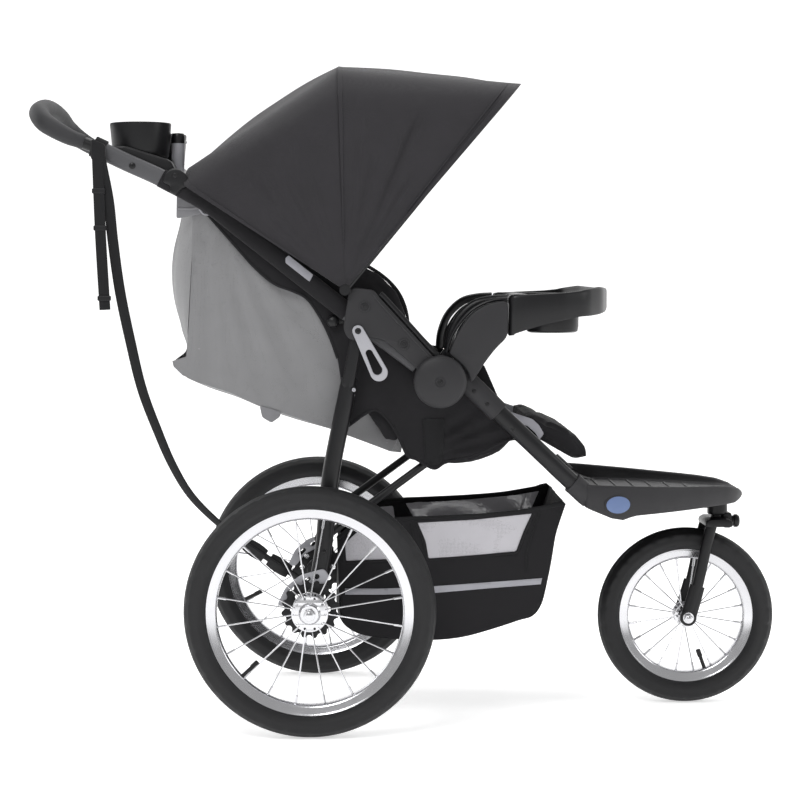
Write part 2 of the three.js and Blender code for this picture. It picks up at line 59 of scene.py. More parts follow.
MM = 0.001
rim_low, rim_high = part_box("rear_rim_R")
AXLE_X = (rim_low.x + rim_high.x) / 2
REAR_PLANE = -(rim_low.y + rim_high.y) / 2 / MM
REAR_RADIUS = 200
FRONT_RADIUS = 150
WHEELBASE = 634.7
STEERER_X = 689
TUBE_PLANE = 216
LEG_PLANE = 225
LINK_PLANE = 172
BASKET_HALF = 159
MESH_HALF = 203
FOLD_HUB = (207, 562)
LEG_PIVOT = (77, 643)
LINK_FOOT = (18, 303)
LINK_TOP = (248, 471)
CANOPY_PIVOT = (56.5, 708)
SEAT_HINGE = (133, 470)
SEAT_CROSS = (362, 452)
CANOPY_REAR = math.radians(142)
CANOPY_MIDDLE = math.radians(91.8)
CANOPY_FRONT = math.radians(49.4)
BACK_ANGLE = math.radians(129.7)
SIDES = (("_R", -1), ("_L", 1))

def at(x, y, z):
    """A point in the frame, from millimetres behind or ahead of the rear axle and above the ground."""
    return Vector((AXLE_X + x * MM, y * MM, z * MM))

# ---- materials

def new_material(name, color, roughness, metallic=0.0, **sockets):
    material = bpy.data.materials.new(name)
    material.use_nodes = True
    shader = material.node_tree.nodes["Principled BSDF"]
    shader.inputs["Base Color"].default_value = (*color, 1)
    shader.inputs["Roughness"].default_value = roughness
    shader.inputs["Metallic"].default_value = metallic
    for socket, value in sockets.items():
        shader.inputs[socket.replace("_", " ")].default_value = value
    return material

class Graph:
    """The node tree of a material, with short calls for the nodes that the materials share."""

    def __init__(self, material):
        self.tree = material.node_tree
        self.shader = self.tree.nodes["Principled BSDF"]
        self.place = self.node("ShaderNodeTexCoord").outputs["Object"]

    def node(self, kind, **settings):
        node = self.tree.nodes.new(kind)
        for name, value in settings.items():
            setattr(node, name, value)
        return node

    def link(self, source, target):
        self.tree.links.new(source, target)

    def noise(self, scale, detail=3.0, stretch=(1, 1, 1)):
        mapping = self.node("ShaderNodeMapping")
        mapping.inputs["Scale"].default_value = stretch
        self.link(self.place, mapping.inputs["Vector"])
        texture = self.node("ShaderNodeTexNoise")
        texture.inputs["Scale"].default_value = scale
        texture.inputs["Detail"].default_value = detail
        self.link(mapping.outputs["Vector"], texture.inputs["Vector"])
        return texture.outputs["Fac"]

    def bands(self, scale, direction):
        texture = self.node("ShaderNodeTexWave", bands_direction=direction)
        texture.inputs["Scale"].default_value = scale
        self.link(self.place, texture.inputs["Vector"])
        return texture.outputs["Fac"]

    def math(self, operation, a, b):
        node = self.node("ShaderNodeMath", operation=operation)
        for socket, value in zip(node.inputs, (a, b)):
            if isinstance(value, (int, float)):
                socket.default_value = value
            else:
                self.link(value, socket)
        return node.outputs[0]

    def ramp(self, value, low, high):
        node = self.node("ShaderNodeMapRange")
        node.inputs["To Min"].default_value = low
        node.inputs["To Max"].default_value = high
        self.link(value, node.inputs["Value"])
        return node.outputs["Result"]

    def tint(self, value, dark, light):
        node = self.node("ShaderNodeMix", data_type="RGBA")
        node.inputs["A"].default_value = (*dark, 1)
        node.inputs["B"].default_value = (*light, 1)
        self.link(value, node.inputs["Factor"])
        self.link(node.outputs["Result"], self.shader.inputs["Base Color"])

    def rough(self, value, low, high):
        self.link(self.ramp(value, low, high), self.shader.inputs["Roughness"])

    def bump(self, *layers):
        """Each layer is a height, its distance in mm and its strength; later ones ride on earlier ones."""
        normal = None
        for height, distance, strength in layers:
            node = self.node("ShaderNodeBump")
            node.inputs["Distance"].default_value = distance * MM
            node.inputs["Strength"].default_value = strength
            self.link(height, node.inputs["Height"])
            if normal is not None:
                self.link(normal, node.inputs["Normal"])
            normal = node.outputs["Normal"]
        self.link(normal, self.shader.inputs["Normal"])

def shade_of(color, factor):
    return tuple(channel * factor for channel in color)

def painted(name, color, roughness=0.32):
    """Powder coat: a fine orange peel and a slightly uneven gloss."""
    material = new_material(name, color, roughness, Specular_IOR_Level=0.3)
    graph = Graph(material)
    graph.rough(graph.noise(60), roughness - 0.05, roughness + 0.1)
    graph.tint(graph.noise(14, 4), shade_of(color, 0.85), shade_of(color, 1.15))
    graph.bump((graph.noise(900, 2), 0.05, 0.25))
    return material

def moulded(name, color, roughness, grain=0.12, specular=0.3):
    """Moulded plastic: a fine spark-eroded grain, with faint wear and flow marks in its gloss."""
    material = new_material(name, color, roughness, Specular_IOR_Level=specular)
    graph = Graph(material)
    graph.rough(graph.noise(35, 5), roughness - 0.06, roughness + 0.08)
    graph.tint(graph.noise(22, 5), shade_of(color, 0.88), shade_of(color, 1.12))
    graph.bump((graph.noise(1300, 2), grain, 0.3))
    return material

def woven(name, color, scale=330, fuzz=0.25, crease=1.2):
    """Plain-weave cloth: threads both ways, soft creases, dye that is slightly uneven and a sheen."""
    material = new_material(name, color, 0.85, Sheen_Weight=fuzz * 0.6, Sheen_Roughness=0.45)
    material.node_tree.nodes["Principled BSDF"].inputs["Specular IOR Level"].default_value = 0.25
    graph = Graph(material)
    along = graph.math("MULTIPLY", graph.bands(scale, "X"), graph.bands(scale, "Z"))
    weave = graph.math("ADD", along, graph.bands(scale, "Y"))
    mottle = graph.noise(26, 6)
    graph.tint(mottle, shade_of(color, 0.82), shade_of(color, 1.2))
    graph.rough(mottle, 0.78, 0.95)
    graph.bump((graph.noise(11, 3), crease, 0.5), (weave, 0.16, 0.45))
    return material

def netting(name, color, cover, hole=2.2):
    """Knitted mesh: round holes on a staggered grid let the light through."""
    material = new_material(name, color, 0.8, Sheen_Weight=0.2)
    graph = Graph(material)
    cells = graph.node("ShaderNodeTexVoronoi", feature="F1")
    cells.inputs["Scale"].default_value = 1 / (hole * MM)
    cells.inputs["Randomness"].default_value = 0.25
    graph.link(graph.place, cells.inputs["Vector"])
    holes = graph.math("GREATER_THAN", cells.outputs["Distance"], 0.62 - 0.55 * cover)
    graph.link(graph.ramp(holes, cover * 0.55, 1.0), graph.shader.inputs["Alpha"])
    graph.tint(graph.noise(30, 4), shade_of(color, 0.92), shade_of(color, 1.06))
    graph.bump((graph.noise(9, 2), 1.5, 0.5), (cells.outputs["Distance"], 0.2, 0.4))
    return material

def rubber(name, color, roughness=0.75, grain=0.25):
    material = new_material(name, color, roughness, Specular_IOR_Level=0.35)
    graph = Graph(material)
    dust = graph.noise(48, 6)
    graph.tint(dust, shade_of(color, 0.8), shade_of(color, 1.35))
    graph.rough(dust, roughness - 0.08, roughness + 0.12)
    graph.bump((graph.noise(700, 3), grain, 0.35))
    return material

def polished(name, color, roughness):
    """Bright metal with fine turning marks and a little handling haze."""
    material = new_material(name, color, roughness, 1.0)
    graph = Graph(material)
    graph.rough(graph.noise(55, 5), max(roughness - 0.06, 0.04), roughness + 0.1)
    graph.tint(graph.noise(12, 3), shade_of(color, 0.93), color)
    graph.bump((graph.noise(500, 2, (1, 0.1, 1)), 0.03, 0.2))
    return material

FINISH = {
    "black_tube": painted("black_powder_coat", (0.008, 0.008, 0.009)),
    "grey_tube": painted("grey_powder_coat", (0.075, 0.075, 0.08), 0.4),
    "charcoal_plastic": moulded("charcoal_grain", (0.024, 0.0235, 0.0255), 0.5),
    "black_plastic": moulded("black_gloss", (0.009, 0.009, 0.01), 0.33, 0.03),
    "silver_plastic": moulded("silver_moulding", (0.36, 0.36, 0.385), 0.36, 0.06),
    "grip_foam": rubber("grip_rubber", (0.024, 0.024, 0.026), 0.6, 0.4),
    "tyre": rubber("tyre_rubber", (0.013, 0.013, 0.014), 0.6, 0.3),
    "alloy": polished("bright_alloy", (0.66, 0.66, 0.68), 0.17),
    "black_steel": painted("black_steel", (0.01, 0.01, 0.011), 0.45),
    "seat_fabric": woven("seat_weave", (0.0125, 0.012, 0.0135), 300, 0.12),
    "canopy_fabric": woven("canopy_weave", (0.026, 0.0245, 0.0275), 420, 0.35, 0.8),
    "mesh_fabric": netting("grey_mesh", (0.205, 0.205, 0.21), 0.86),
    "webbing": woven("strap_weave", (0.011, 0.011, 0.012), 240, 0.15, 0.3),
}
WINDOW_MESH = netting("pale_window_mesh", (0.5, 0.49, 0.52), 0.74)
REFLECTIVE = woven("reflective_tape", (0.34, 0.34, 0.37), 500, 0.5, 0.3)
PALE_GREY = woven("pale_trim", (0.2, 0.2, 0.21), 400, 0.3, 0.3)
BADGE_BLUE = moulded("badge_blue", (0.13, 0.185, 0.34), 0.4, 0.02)

# ---- building pieces

def make(name, geometry, slot, body=None, stands_for=(), sharp=38, bevel=0, thick=0, material=None):
    """A piece from vertices in mm and faces, finished, riding on a body and standing for CAD nodes."""
    verts, faces = geometry
    mesh = bpy.data.meshes.new(name)
    mesh.from_pydata([at(*v) for v in verts], [], faces)
    work = bmesh.new()
    work.from_mesh(mesh)
    bmesh.ops.remove_doubles(work, verts=work.verts, dist=1e-6)
    bmesh.ops.dissolve_degenerate(work, edges=work.edges, dist=1e-6)
    bmesh.ops.recalc_face_normals(work, faces=work.faces)
    work.to_mesh(mesh)
    work.free()
    mesh.shade_smooth()
    mesh.set_sharp_from_angle(angle=math.radians(sharp))
    piece = bpy.data.objects.new(name, mesh)
    bpy.context.scene.collection.objects.link(piece)
    mesh.materials.append(material or FINISH[slot])
    if thick:
        solid = piece.modifiers.new("thickness", "SOLIDIFY")
        solid.thickness = thick * MM
        solid.offset = 0
    if bevel:
        edge = piece.modifiers.new("rounded", "BEVEL")
        edge.width = bevel * MM
        edge.segments = 3
        edge.limit_method = "ANGLE"
        edge.angle_limit = math.radians(sharp)
    if body:
        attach(piece, body)
    if stands_for:
        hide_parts(*stands_for)
    return piece

def merged(*geometries):
    verts, faces = [], []
    for more_verts, more_faces in geometries:
        start = len(verts)
        verts += more_verts
        faces += [tuple(i + start for i in face) for face in more_faces]
    return verts, faces

def loft(rings, closed=True, caps=True):
    """A skin through rings of points; closed rings may be capped at both ends."""
    count = len(rings[0])
    verts = [Vector(p) for ring in rings for p in ring]
    faces = []
    for i in range(len(rings) - 1):
        for j in range(count if closed else count - 1):
            k = (j + 1) % count
            faces.append((i * count + j, i * count + k, (i + 1) * count + k, (i + 1) * count + j))
    if closed and caps:
        faces.append(tuple(reversed(range(count))))
        faces.append(tuple(range((len(rings) - 1) * count, len(rings) * count)))
    return verts, faces

def curve_through(points, steps):
    """Points along a centripetal Catmull-Rom curve, with the given number of steps in all."""
    points = [Vector(p) for p in points]
    ends = [2 * points[0] - points[1], *points, 2 * points[-1] - points[-2]]
    spans = len(ends) - 3
    found = []
    for step in range(steps + 1):
        place = step * spans / steps
        i = min(int(place), spans - 1)
        p0, p1, p2, p3 = ends[i:i + 4]
        t0 = 0.0
        t1 = t0 + max((p1 - p0).length, 1e-6) ** 0.5
        t2 = t1 + max((p2 - p1).length, 1e-6) ** 0.5
        t3 = t2 + max((p3 - p2).length, 1e-6) ** 0.5
        t = t1 + (place - i) * (t2 - t1)
        a1 = p0.lerp(p1, (t - t0) / (t1 - t0))
        a2 = p1.lerp(p2, (t - t1) / (t2 - t1))
        a3 = p2.lerp(p3, (t - t2) / (t3 - t2))
        b1 = a1.lerp(a2, (t - t0) / (t2 - t0))
        b2 = a2.lerp(a3, (t - t1) / (t3 - t1))
        found.append(b1.lerp(b2, (t - t1) / (t2 - t1)))
    return found

def angles(count):
    """Equal steps once around."""
    return [2 * math.pi * i / count for i in range(count)]

def polar(centre, radius, angle):
    return centre[0] + radius * math.cos(angle), centre[1] + radius * math.sin(angle)

def ellipse(across, depth, count=20):
    return [(across * math.cos(a), depth * math.sin(a)) for a in angles(count)]

def heading(route, i):
    return (route[min(i + 1, len(route) - 1)] - route[max(i - 1, 0)]).normalized()

def lifted(points, y):
    """A line drawn in the side view, set in the plane at y."""
    return [(x, y, z) for x, z in points]

def faced(profile, side):
    """A turned profile whose offsets point out of the given side."""
    return [(r, side * o) for r, o in profile]

def mirrored_plan(half):
    """A plan from the outline of its right half, listed from the back to the front."""
    return [*[(x, -y) for x, y in half], *[(x, y) for x, y in reversed(half)]]

def strap_section(width, thickness):
    """A flat band: its width lies in the side view and its thickness across the stroller."""
    half, edge = width / 2, thickness / 2
    corner = edge * 0.7
    return [(-edge, -half + corner), (-corner, -half), (corner, -half), (edge, -half + corner),
            (edge, half - corner), (corner, half), (-corner, half), (-edge, half - corner)]

def sweep(route, section, scale=None, twist=None):
    """A section carried along a route. Its first axis stays across the stroller, or turns away from there
    by the angle that twist gives."""
    across = Vector((0, 1, 0))
    route = [Vector(p) for p in route]
    rings = []
    last = len(route) - 1
    for i, point in enumerate(route):
        along = heading(route, i)
        side = (across - along * across.dot(along)).normalized()
        if twist:
            side.rotate(Matrix.Rotation(twist(i / last), 3, along))
        up = side.cross(along)
        size = scale(i / last) if scale else 1.0
        rings.append([point + side * (a * size) + up * (b * size) for a, b in section])
    return loft(rings)

def pipe(points, half_width, half_depth=None, steps=32, sides=20, scale=None):
    """A tube along a smooth curve, which may turn from the side view to across the stroller."""
    route = curve_through(points, steps) if len(points) > 2 else [Vector(p) for p in points]
    section = ellipse(half_width, half_depth or half_width, sides)
    return sweep(route, section, scale)

def bar_across(points, radius, steps=60, sides=20, scale=None):
    """A round tube whose route crosses the stroller, with its section carried along it."""
    route = curve_through(points, steps)
    rings = []
    up = Vector((0, 0, 1))
    last = len(route) - 1
    for i, point in enumerate(route):
        along = heading(route, i)
        up = (up - along * up.dot(along)).normalized()
        side = along.cross(up)
        size = radius * (scale(i / last) if scale else 1.0)
        rings.append([point + side * (a * size) + up * (b * size) for a, b in ellipse(1, 1, sides)])
    return loft(rings)

def lathe(profile, centre, y, segments=48, axis="Y"):
    """A [radius, offset] profile turned about an axis through centre; y is where offset 0 lies."""
    rings = []
    for radius, offset in profile:
        ring = []
        for u, v in circle(centre, radius, segments):
            ring.append({"X": (y + offset, u, v), "Y": (u, y + offset, v), "Z": (u, v, y + offset)}[axis])
        rings.append(ring)
    return loft(rings, caps=False)

def round_bar(radius, a, b, bevel=1.0, sides=28):
    """A straight round bar between two points, with its end edges eased."""
    a, b = Vector(a), Vector(b)
    along = (b - a).normalized()
    inset = along * bevel
    spots = [(a, radius - bevel), (a + inset, radius), (b - inset, radius), (b, radius - bevel)]
    side = along.orthogonal().normalized()
    up = along.cross(side)
    return loft([[p + side * (u * r) + up * (v * r) for u, v in ellipse(1, 1, sides)]
                 for p, r in spots])

def rounded(outline, radius, steps=5):
    """An outline with each corner turned into a short curve."""
    points = [Vector(p) for p in outline]
    found = []
    for i, corner in enumerate(points):
        before, after = points[i - 1] - corner, points[(i + 1) % len(points)] - corner
        reach = min(radius, before.length * 0.45, after.length * 0.45)
        start, end = corner + before.normalized() * reach, corner + after.normalized() * reach
        for k in range(steps + 1):
            t = k / steps
            found.append(tuple(start.lerp(corner, t).lerp(corner.lerp(end, t), t)))
    return found

def capsule(a, b, radius_a, radius_b=None, steps=12):
    """The outline of a bar with round ends."""
    radius_b = radius_b or radius_a
    lean = math.atan2(b[1] - a[1], b[0] - a[0])
    found = []
    for centre, radius, start in ((a, radius_a, lean + math.pi / 2), (b, radius_b, lean - math.pi / 2)):
        found += [polar(centre, radius, start + math.pi * i / steps) for i in range(steps + 1)]
    return found

def filled_curve(loops):
    """A flat filled curve bounded by closed loops, with the object that holds it."""
    curve = bpy.data.curves.new("outline", "CURVE")
    curve.dimensions = "2D"
    curve.fill_mode = "BOTH"
    for loop in loops:
        spline = curve.splines.new("POLY")
        spline.points.add(len(loop) - 1)
        spline.use_cyclic_u = True
        for point, (u, v) in zip(spline.points, loop):
            point.co = (u, v, 0, 1)
    holder = bpy.data.objects.new("outline", curve)
    bpy.context.scene.collection.objects.link(holder)
    return curve, holder

def drop_curve(curve, holder):
    holder.to_mesh_clear()
    bpy.data.objects.remove(holder)
    bpy.data.curves.remove(curve)

def plate(outline, y0, y1, holes=(), bevel=1.0):
    """A flat plate in the side view with eased edges, cut through by its holes."""
    curve, holder = filled_curve((outline, *holes))
    curve.extrude = max(abs(y1 - y0) / 2 - bevel, 0.01)
    curve.bevel_depth = bevel
    curve.bevel_resolution = 2
    curve.offset = -bevel
    skin = holder.to_mesh()
    middle = (y0 + y1) / 2
    verts = [Vector((v.co.x, middle + v.co.z, v.co.y)) for v in skin.vertices]
    faces = [tuple(face.vertices) for face in skin.polygons]
    drop_curve(curve, holder)
    return verts, faces

def circle(centre, radius, count=20):
    return [(centre[0] + u, centre[1] + v) for u, v in ellipse(radius, radius, count)]

def carved(piece, *cutters):
    """The piece with the cutters' shapes, given as geometry in mm, taken out of it."""
    for geometry in cutters:
        tool = make("cutter", geometry, "black_plastic")
        cut = piece.modifiers.new("cut", "BOOLEAN")
        cut.object = tool
        cut.solver = "EXACT"
        piece.modifiers.move(len(piece.modifiers) - 1, 0)
        bpy.context.view_layer.update()
        keep = {m.name: m.show_viewport for m in piece.modifiers}
        for modifier in piece.modifiers:
            modifier.show_viewport = modifier.name == cut.name
        result = bpy.data.meshes.new_from_object(piece.evaluated_get(
            bpy.context.evaluated_depsgraph_get()))
        piece.modifiers.remove(cut)
        for modifier in piece.modifiers:
            modifier.show_viewport = keep[modifier.name]
        old = piece.data
        piece.data = result
        bpy.data.meshes.remove(old)
        bpy.data.objects.remove(tool)
    return piece

def screw(name, centre, y, side, radius, body, slot="black_plastic", proud=1.6):
    """A domed screw or rivet head with a small drive socket, on a face that looks outwards."""
    profile = [(0, 0.5), (radius * 0.3, 0.5), (radius * 0.34, proud * 0.95), (radius * 0.75, proud * 0.8),
               (radius, proud * 0.2), (radius, -1.0), (0, -1.0)]
    return make(name, lathe(faced(profile, side), centre, y, 24), slot, body)

def mirror_y(points):
    """A half route whose last point lies on the middle line, completed to the other side."""
    return [*points, *[(x, -y, z) for x, y, z in reversed(points[:-1])]]

# ---- camera, floor and light

def set_stage():
    lens, sensor = 98.52, 36.0
    yaw, pitch, roll = math.radians(0.849), math.radians(3.3), math.radians(0.101)
    data = bpy.data.cameras.new("camera")
    data.lens = lens
    data.sensor_width = sensor
    data.clip_end = 60
    camera = bpy.data.objects.new("camera", data)
    turn = (Matrix.Rotation(-yaw, 4, "Z") @ Matrix.Rotation(math.pi / 2 - pitch, 4, "X")
            @ Matrix.Rotation(-roll, 4, "Z"))
    camera.matrix_world = Matrix.Translation(at(91.9, -3717.5, 733.4)) @ turn
    bpy.context.scene.collection.objects.link(camera)
    bpy.context.scene.camera = camera

    world = bpy.data.worlds.new("studio")
    world.use_nodes = True
    world.node_tree.nodes["Background"].inputs["Color"].default_value = (1, 1, 1, 1)
    world.node_tree.nodes["Background"].inputs["Strength"].default_value = 0.45
    bpy.context.scene.world = world
    bpy.context.scene.view_settings.view_transform = "Standard"

    sweep_line = [(-30, 0), (5, 0)]
    for step in range(1, 13):
        angle = math.pi / 2 * step / 12
        sweep_line.append((5 + 5 * math.sin(angle), 5 - 5 * math.cos(angle)))
    sweep_line.append((10, 16))
    mesh = bpy.data.meshes.new("floor")
    corners = [(x, y, z) for y, z in sweep_line for x in (-30, 30)]
    strips = [(i, i + 1, i + 3, i + 2) for i in range(0, len(corners) - 2, 2)]
    mesh.from_pydata(corners, [], strips)
    mesh.shade_smooth()
    floor = bpy.data.objects.new("floor", mesh)
    paper = new_material("pale_paper", (0.95, 0.95, 0.95), 0.9, Specular_IOR_Level=0.0,
                         Emission_Color=(1, 1, 1, 1), Emission_Strength=0.55)
    graph = Graph(paper)
    graph.tint(graph.noise(3, 2), (0.94, 0.94, 0.94), (0.96, 0.96, 0.96))
    mesh.materials.append(paper)
    bpy.context.scene.collection.objects.link(floor)

    lamps = {
        "key": ((-1.2, -2.6, 3.2), 1.8, 55),
        "top": ((0.1, 0.5, 3.4), 2.4, 38),
        "front": ((3.2, -1.0, 1.7), 1.6, 15),
        "behind": ((-3.0, 1.6, 2.2), 1.8, 15),
    }
    for name, (spot, size, power) in lamps.items():
        light = bpy.data.lights.new(name, "AREA")
        light.shape = "DISK"
        light.size = size
        light.energy = power
        lamp = bpy.data.objects.new(name, light)
        lamp.location = spot
        lamp.rotation_euler = (Vector((0, 0, 0.55)) - Vector(spot)).to_track_quat("-Z", "Y").to_euler()
        bpy.context.scene.collection.objects.link(lamp)

set_stage()

# ---- wrist tether

TETHER_ROUTE = [
    (-332, -236, 930), (-327, -238, 905), (-317, -236, 850), (-311, -235, 788), (-301, -231, 708),
    (-286, -226, 629), (-268, -220, 549), (-245, -214, 484), (-222, -208, 428), (-194, -202, 379),
    (-155, -196, 337), (-115, -190, 304), (-67, -184, 271), (-19, -180, 238), (-3, -180, 224),
]
TETHER_TAIL = [(-334, -238.5, 930), (-330, -239, 800), (-324, -238, 677)]
STRAP_WIDTH = 17

def strap_twist(share):
    """The strap hangs flat at the handle and turns nearly on edge on its way down."""
    return math.radians(62) * (3 * share ** 2 - 2 * share ** 3 if share < 0.75 else 0.84375)

def wrist_tether():
    route = curve_through(TETHER_ROUTE, 90)
    strap = make("tether_run", sweep(route, strap_section(STRAP_WIDTH, 2.6), twist=strap_twist), "webbing",
                 "upper_frame", ["tether_strap"])
    tail = make("tether_tail", sweep(curve_through(TETHER_TAIL, 40), strap_section(17, 5)), "webbing",
                "upper_frame")
    outer = [(-344, 914), (-322, 908), (-321, 938), (-343, 947)]
    wrap = make("tether_wrap", plate(rounded(outer, 5), -241, -228, bevel=2.2), "webbing", "upper_frame")
    loop = [(-343, -TUBE_PLANE, 936.8), (-334, -TUBE_PLANE, 932.6), (-325, -TUBE_PLANE, 928.4)]
    collar = make("tether_collar", pipe(loop, 13, 17, 8, 28), "webbing", "upper_frame", bevel=1)
    for index, share in enumerate((0.27, 0.48, 0.94)):
        point = curve_through(TETHER_TAIL, 40)[int(share * 40)]
        outline = [(point.x + a, point.z + b) for a, b in ((-10.5, -4), (10.5, -4), (10.5, 4), (-10.5, 4))]
        bar = plate(rounded(outline, 2), -242.5, -235, bevel=1.2)
        make(f"tether_slider_{index}", bar, "black_plastic", "upper_frame")
    for index, share in enumerate((0.80, 0.865)):
        spot = int(share * 90)
        bead = sweep(route[spot:spot + 5], strap_section(25, 8), lambda t: 0.85 + 0.6 * t * (1 - t))
        make(f"tether_clip_{index}", bead, "black_plastic", "upper_frame")

wrist_tether()

# ---- wheels

def tyre_skin(centre, y, radius, segments=180):
    """A tyre with a centre rib, staggered side blocks and a bead line along each wall."""
    depth, width = 18.6, 23.4
    middle = radius - depth - 0.2
    rings = []
    for i, angle in enumerate(angles(segments)):
        ring = []
        for turn in angles(36):
            out, across = math.cos(turn), math.sin(turn)
            squared = abs(out) ** 0.85 * math.copysign(1, out)
            reach = middle + depth * squared
            side = 0 if across > 0 else 3
            if out > 0.3:
                in_groove = 0.2 < abs(across) < 0.36 or 0.68 < abs(across) < 0.78
                in_gap = abs(across) >= 0.3 and (i + side) % 6 == 0
                if in_groove or in_gap:
                    reach -= 1.5
            elif -0.25 < out < -0.05:
                reach += 0.5
            ledge = 1.5 if 0.25 < out < 0.55 else 1.0 if -0.4 < out < -0.1 else 0
            if ledge == 1.5 and (i + side) % 6 == 0:
                ledge = -0.5
            x, z = polar(centre, reach, angle)
            ring.append((x, y + (width + ledge) * across, z))
        rings.append(ring)
    return loft([*rings, rings[0]], caps=False)

def wheel(prefix, suffix, centre, y, radius, body, near, valve_angle, hub):
    name = f"{prefix}_{{}}{suffix}"
    rim_out = radius - 37.5
    rim_in = rim_out - 15.5
    make(name.format("tyre_tread"), tyre_skin(centre, y, radius), "tyre", body,
         [name.format("tyre")], sharp=70)
    half = [(rim_out + 2.6, 12.4), (rim_out + 1.2, 13.2), (rim_out - 0.6, 12.4), (rim_out - 2, 11.4),
            (rim_in + 5, 10.2), (rim_in + 1.6, 8), (rim_in, 4), (rim_in, 0)]
    bed = [(rim_out - 4, 0), (rim_out - 3, 8), (rim_out + 1, 11)]
    loop = [*half, *[(r, -o) for r, o in reversed(half[:-1])], *[(r, -o) for r, o in reversed(bed)],
            *bed[1:], half[0]]
    make(name.format("rim_alloy"), lathe(loop, centre, y, 144), "alloy", body, [name.format("rim")])

    flange_at = hub["half"] - 12
    core, half_width = hub["core"], hub["half"]
    barrel = [(0, -half_width), (core, -half_width), (core + 1, -half_width + 1.5),
              (core + 1, -flange_at - 4), (core + 5, -flange_at), (core + 1, -flange_at + 5), (core - 1, 0)]
    barrel += [(r, -o) for r, o in reversed(barrel[:-1])]
    flanges = []
    for side in (-1, 1):
        holes = [circle(polar(centre, hub["flange"] - 4.2, a), 1.9, 8) for a in angles(10)]
        flanges.append(plate(circle(centre, hub["flange"], 48), y + side * flange_at - 1.5,
                             y + side * flange_at + 1.5, holes, 0.5))
    make(name.format("hub_shell"), merged(lathe(barrel, centre, y, 40), *flanges), "alloy", body,
         [name.format("hub")])

    wires = []
    for i in range(20):
        angle = 2 * math.pi * (i + 0.5) / 20
        side = 1 if i % 2 else -1
        lean = math.radians(6) * (1 if i % 4 < 2 else -1)
        inner, outer = polar(centre, hub["flange"] - 4, angle + lean), polar(centre, rim_in + 1, angle)
        start = Vector((inner[0], y + side * (flange_at + 1.6), inner[1]))
        end = Vector((outer[0], y + side * 1.5, outer[1]))
        wires.append(round_bar(1.15, start, end, 0.3, 8))
        wires.append(round_bar(2.1, end.lerp(start, 14 / (end - start).length), end, 0.5, 8))
    make(name.format("spokes"), merged(*wires), "alloy", body)

    out = Vector((math.cos(valve_angle), 0, math.sin(valve_angle)))
    foot = Vector((centre[0], y, centre[1])) + out * (rim_in + 2)
    tip = Vector((centre[0], y, centre[1])) + out * (rim_in - 33) + Vector((0, near * 3, 0))
    stem = merged(round_bar(3.2, foot, foot.lerp(tip, 0.68), 0.6, 12),
                  round_bar(4.2, foot.lerp(tip, 0.6), tip, 1.2, 12))
    make(name.format("valve"), stem, "black_plastic", body)

REAR_HUB = {"half": 31, "core": 14, "flange": 29}
FRONT_HUB = {"half": 27, "core": 11, "flange": 20}
for tag, s in SIDES:
    wheel("rear", tag, (0, REAR_RADIUS), s * REAR_PLANE, REAR_RADIUS, "rear_wheel" + tag, s,
          math.radians(223.5 if s < 0 else 205), REAR_HUB)
    notches = []
    for k, angle in enumerate(angles(64)):
        notches.append(polar((0, REAR_RADIUS), 46.8 if k % 4 in (1, 2) else 41.5, angle))
    slots = [circle(polar((0, REAR_RADIUS), 28, a), 4.5, 14) for a in angles(8)]
    disc = plate(rounded(notches, 1.5, 2), s * 250.4, s * 253.4, slots, 0.5)
    make("brake_rotor" + tag, disc, "black_steel", "rear_wheel" + tag, ["brake_disc" + tag])
wheel("front", "", (WHEELBASE, FRONT_RADIUS), 0, FRONT_RADIUS, "front_wheel", -1, math.radians(290),
      FRONT_HUB)

def axle_end(centre, y, side, radius):
    """A hexagon nut with a washer behind it and a domed thread end."""
    hexagon = [polar(centre, radius, math.radians(60 * k + 12)) for k in range(6)]
    nut = plate(rounded(hexagon, 1.2, 2), y, y + side * 7.5, bevel=0.8)
    wide = radius * 1.15
    washer = lathe([(0, 0), (wide, 0), (wide, -side * 1.4), (0, -side * 1.4)], centre, y, 32)
    dome = [(0, side * 9.4), (radius * 0.3, side * 9.1), (radius * 0.52, side * 8), (radius * 0.55, side * 7)]
    return merged(nut, washer, lathe(dome, centre, y, 24))

def cross_bar(radius, spot, half):
    """A round bar across the stroller, through a spot in the side view."""
    return round_bar(radius, (spot[0], -half, spot[1]), (spot[0], half, spot[1]))

def axle(name, spot, radius, half, nut_at, nut_radius, body, node):
    nuts = [axle_end(spot, side * nut_at, side, nut_radius) for side in (-1, 1)]
    make(name, merged(cross_bar(radius, spot, half), *nuts), "alloy", body, [node])

axle("rear_axle_bar", (0, REAR_RADIUS), 6, 312, 311.6, 9.8, "rear_frame", "rear_axle")
axle("front_axle_bar", (WHEELBASE, FRONT_RADIUS), 5, 47, 42.6, 8, "fork", "front_axle")

# ---- rear frame and links

def leg_swell(t):
    """The rear leg is a little slimmer where it enters its fork at the top."""
    return 0.93 + 0.12 * min(max((t - 0.05) * 4, 0), 1)

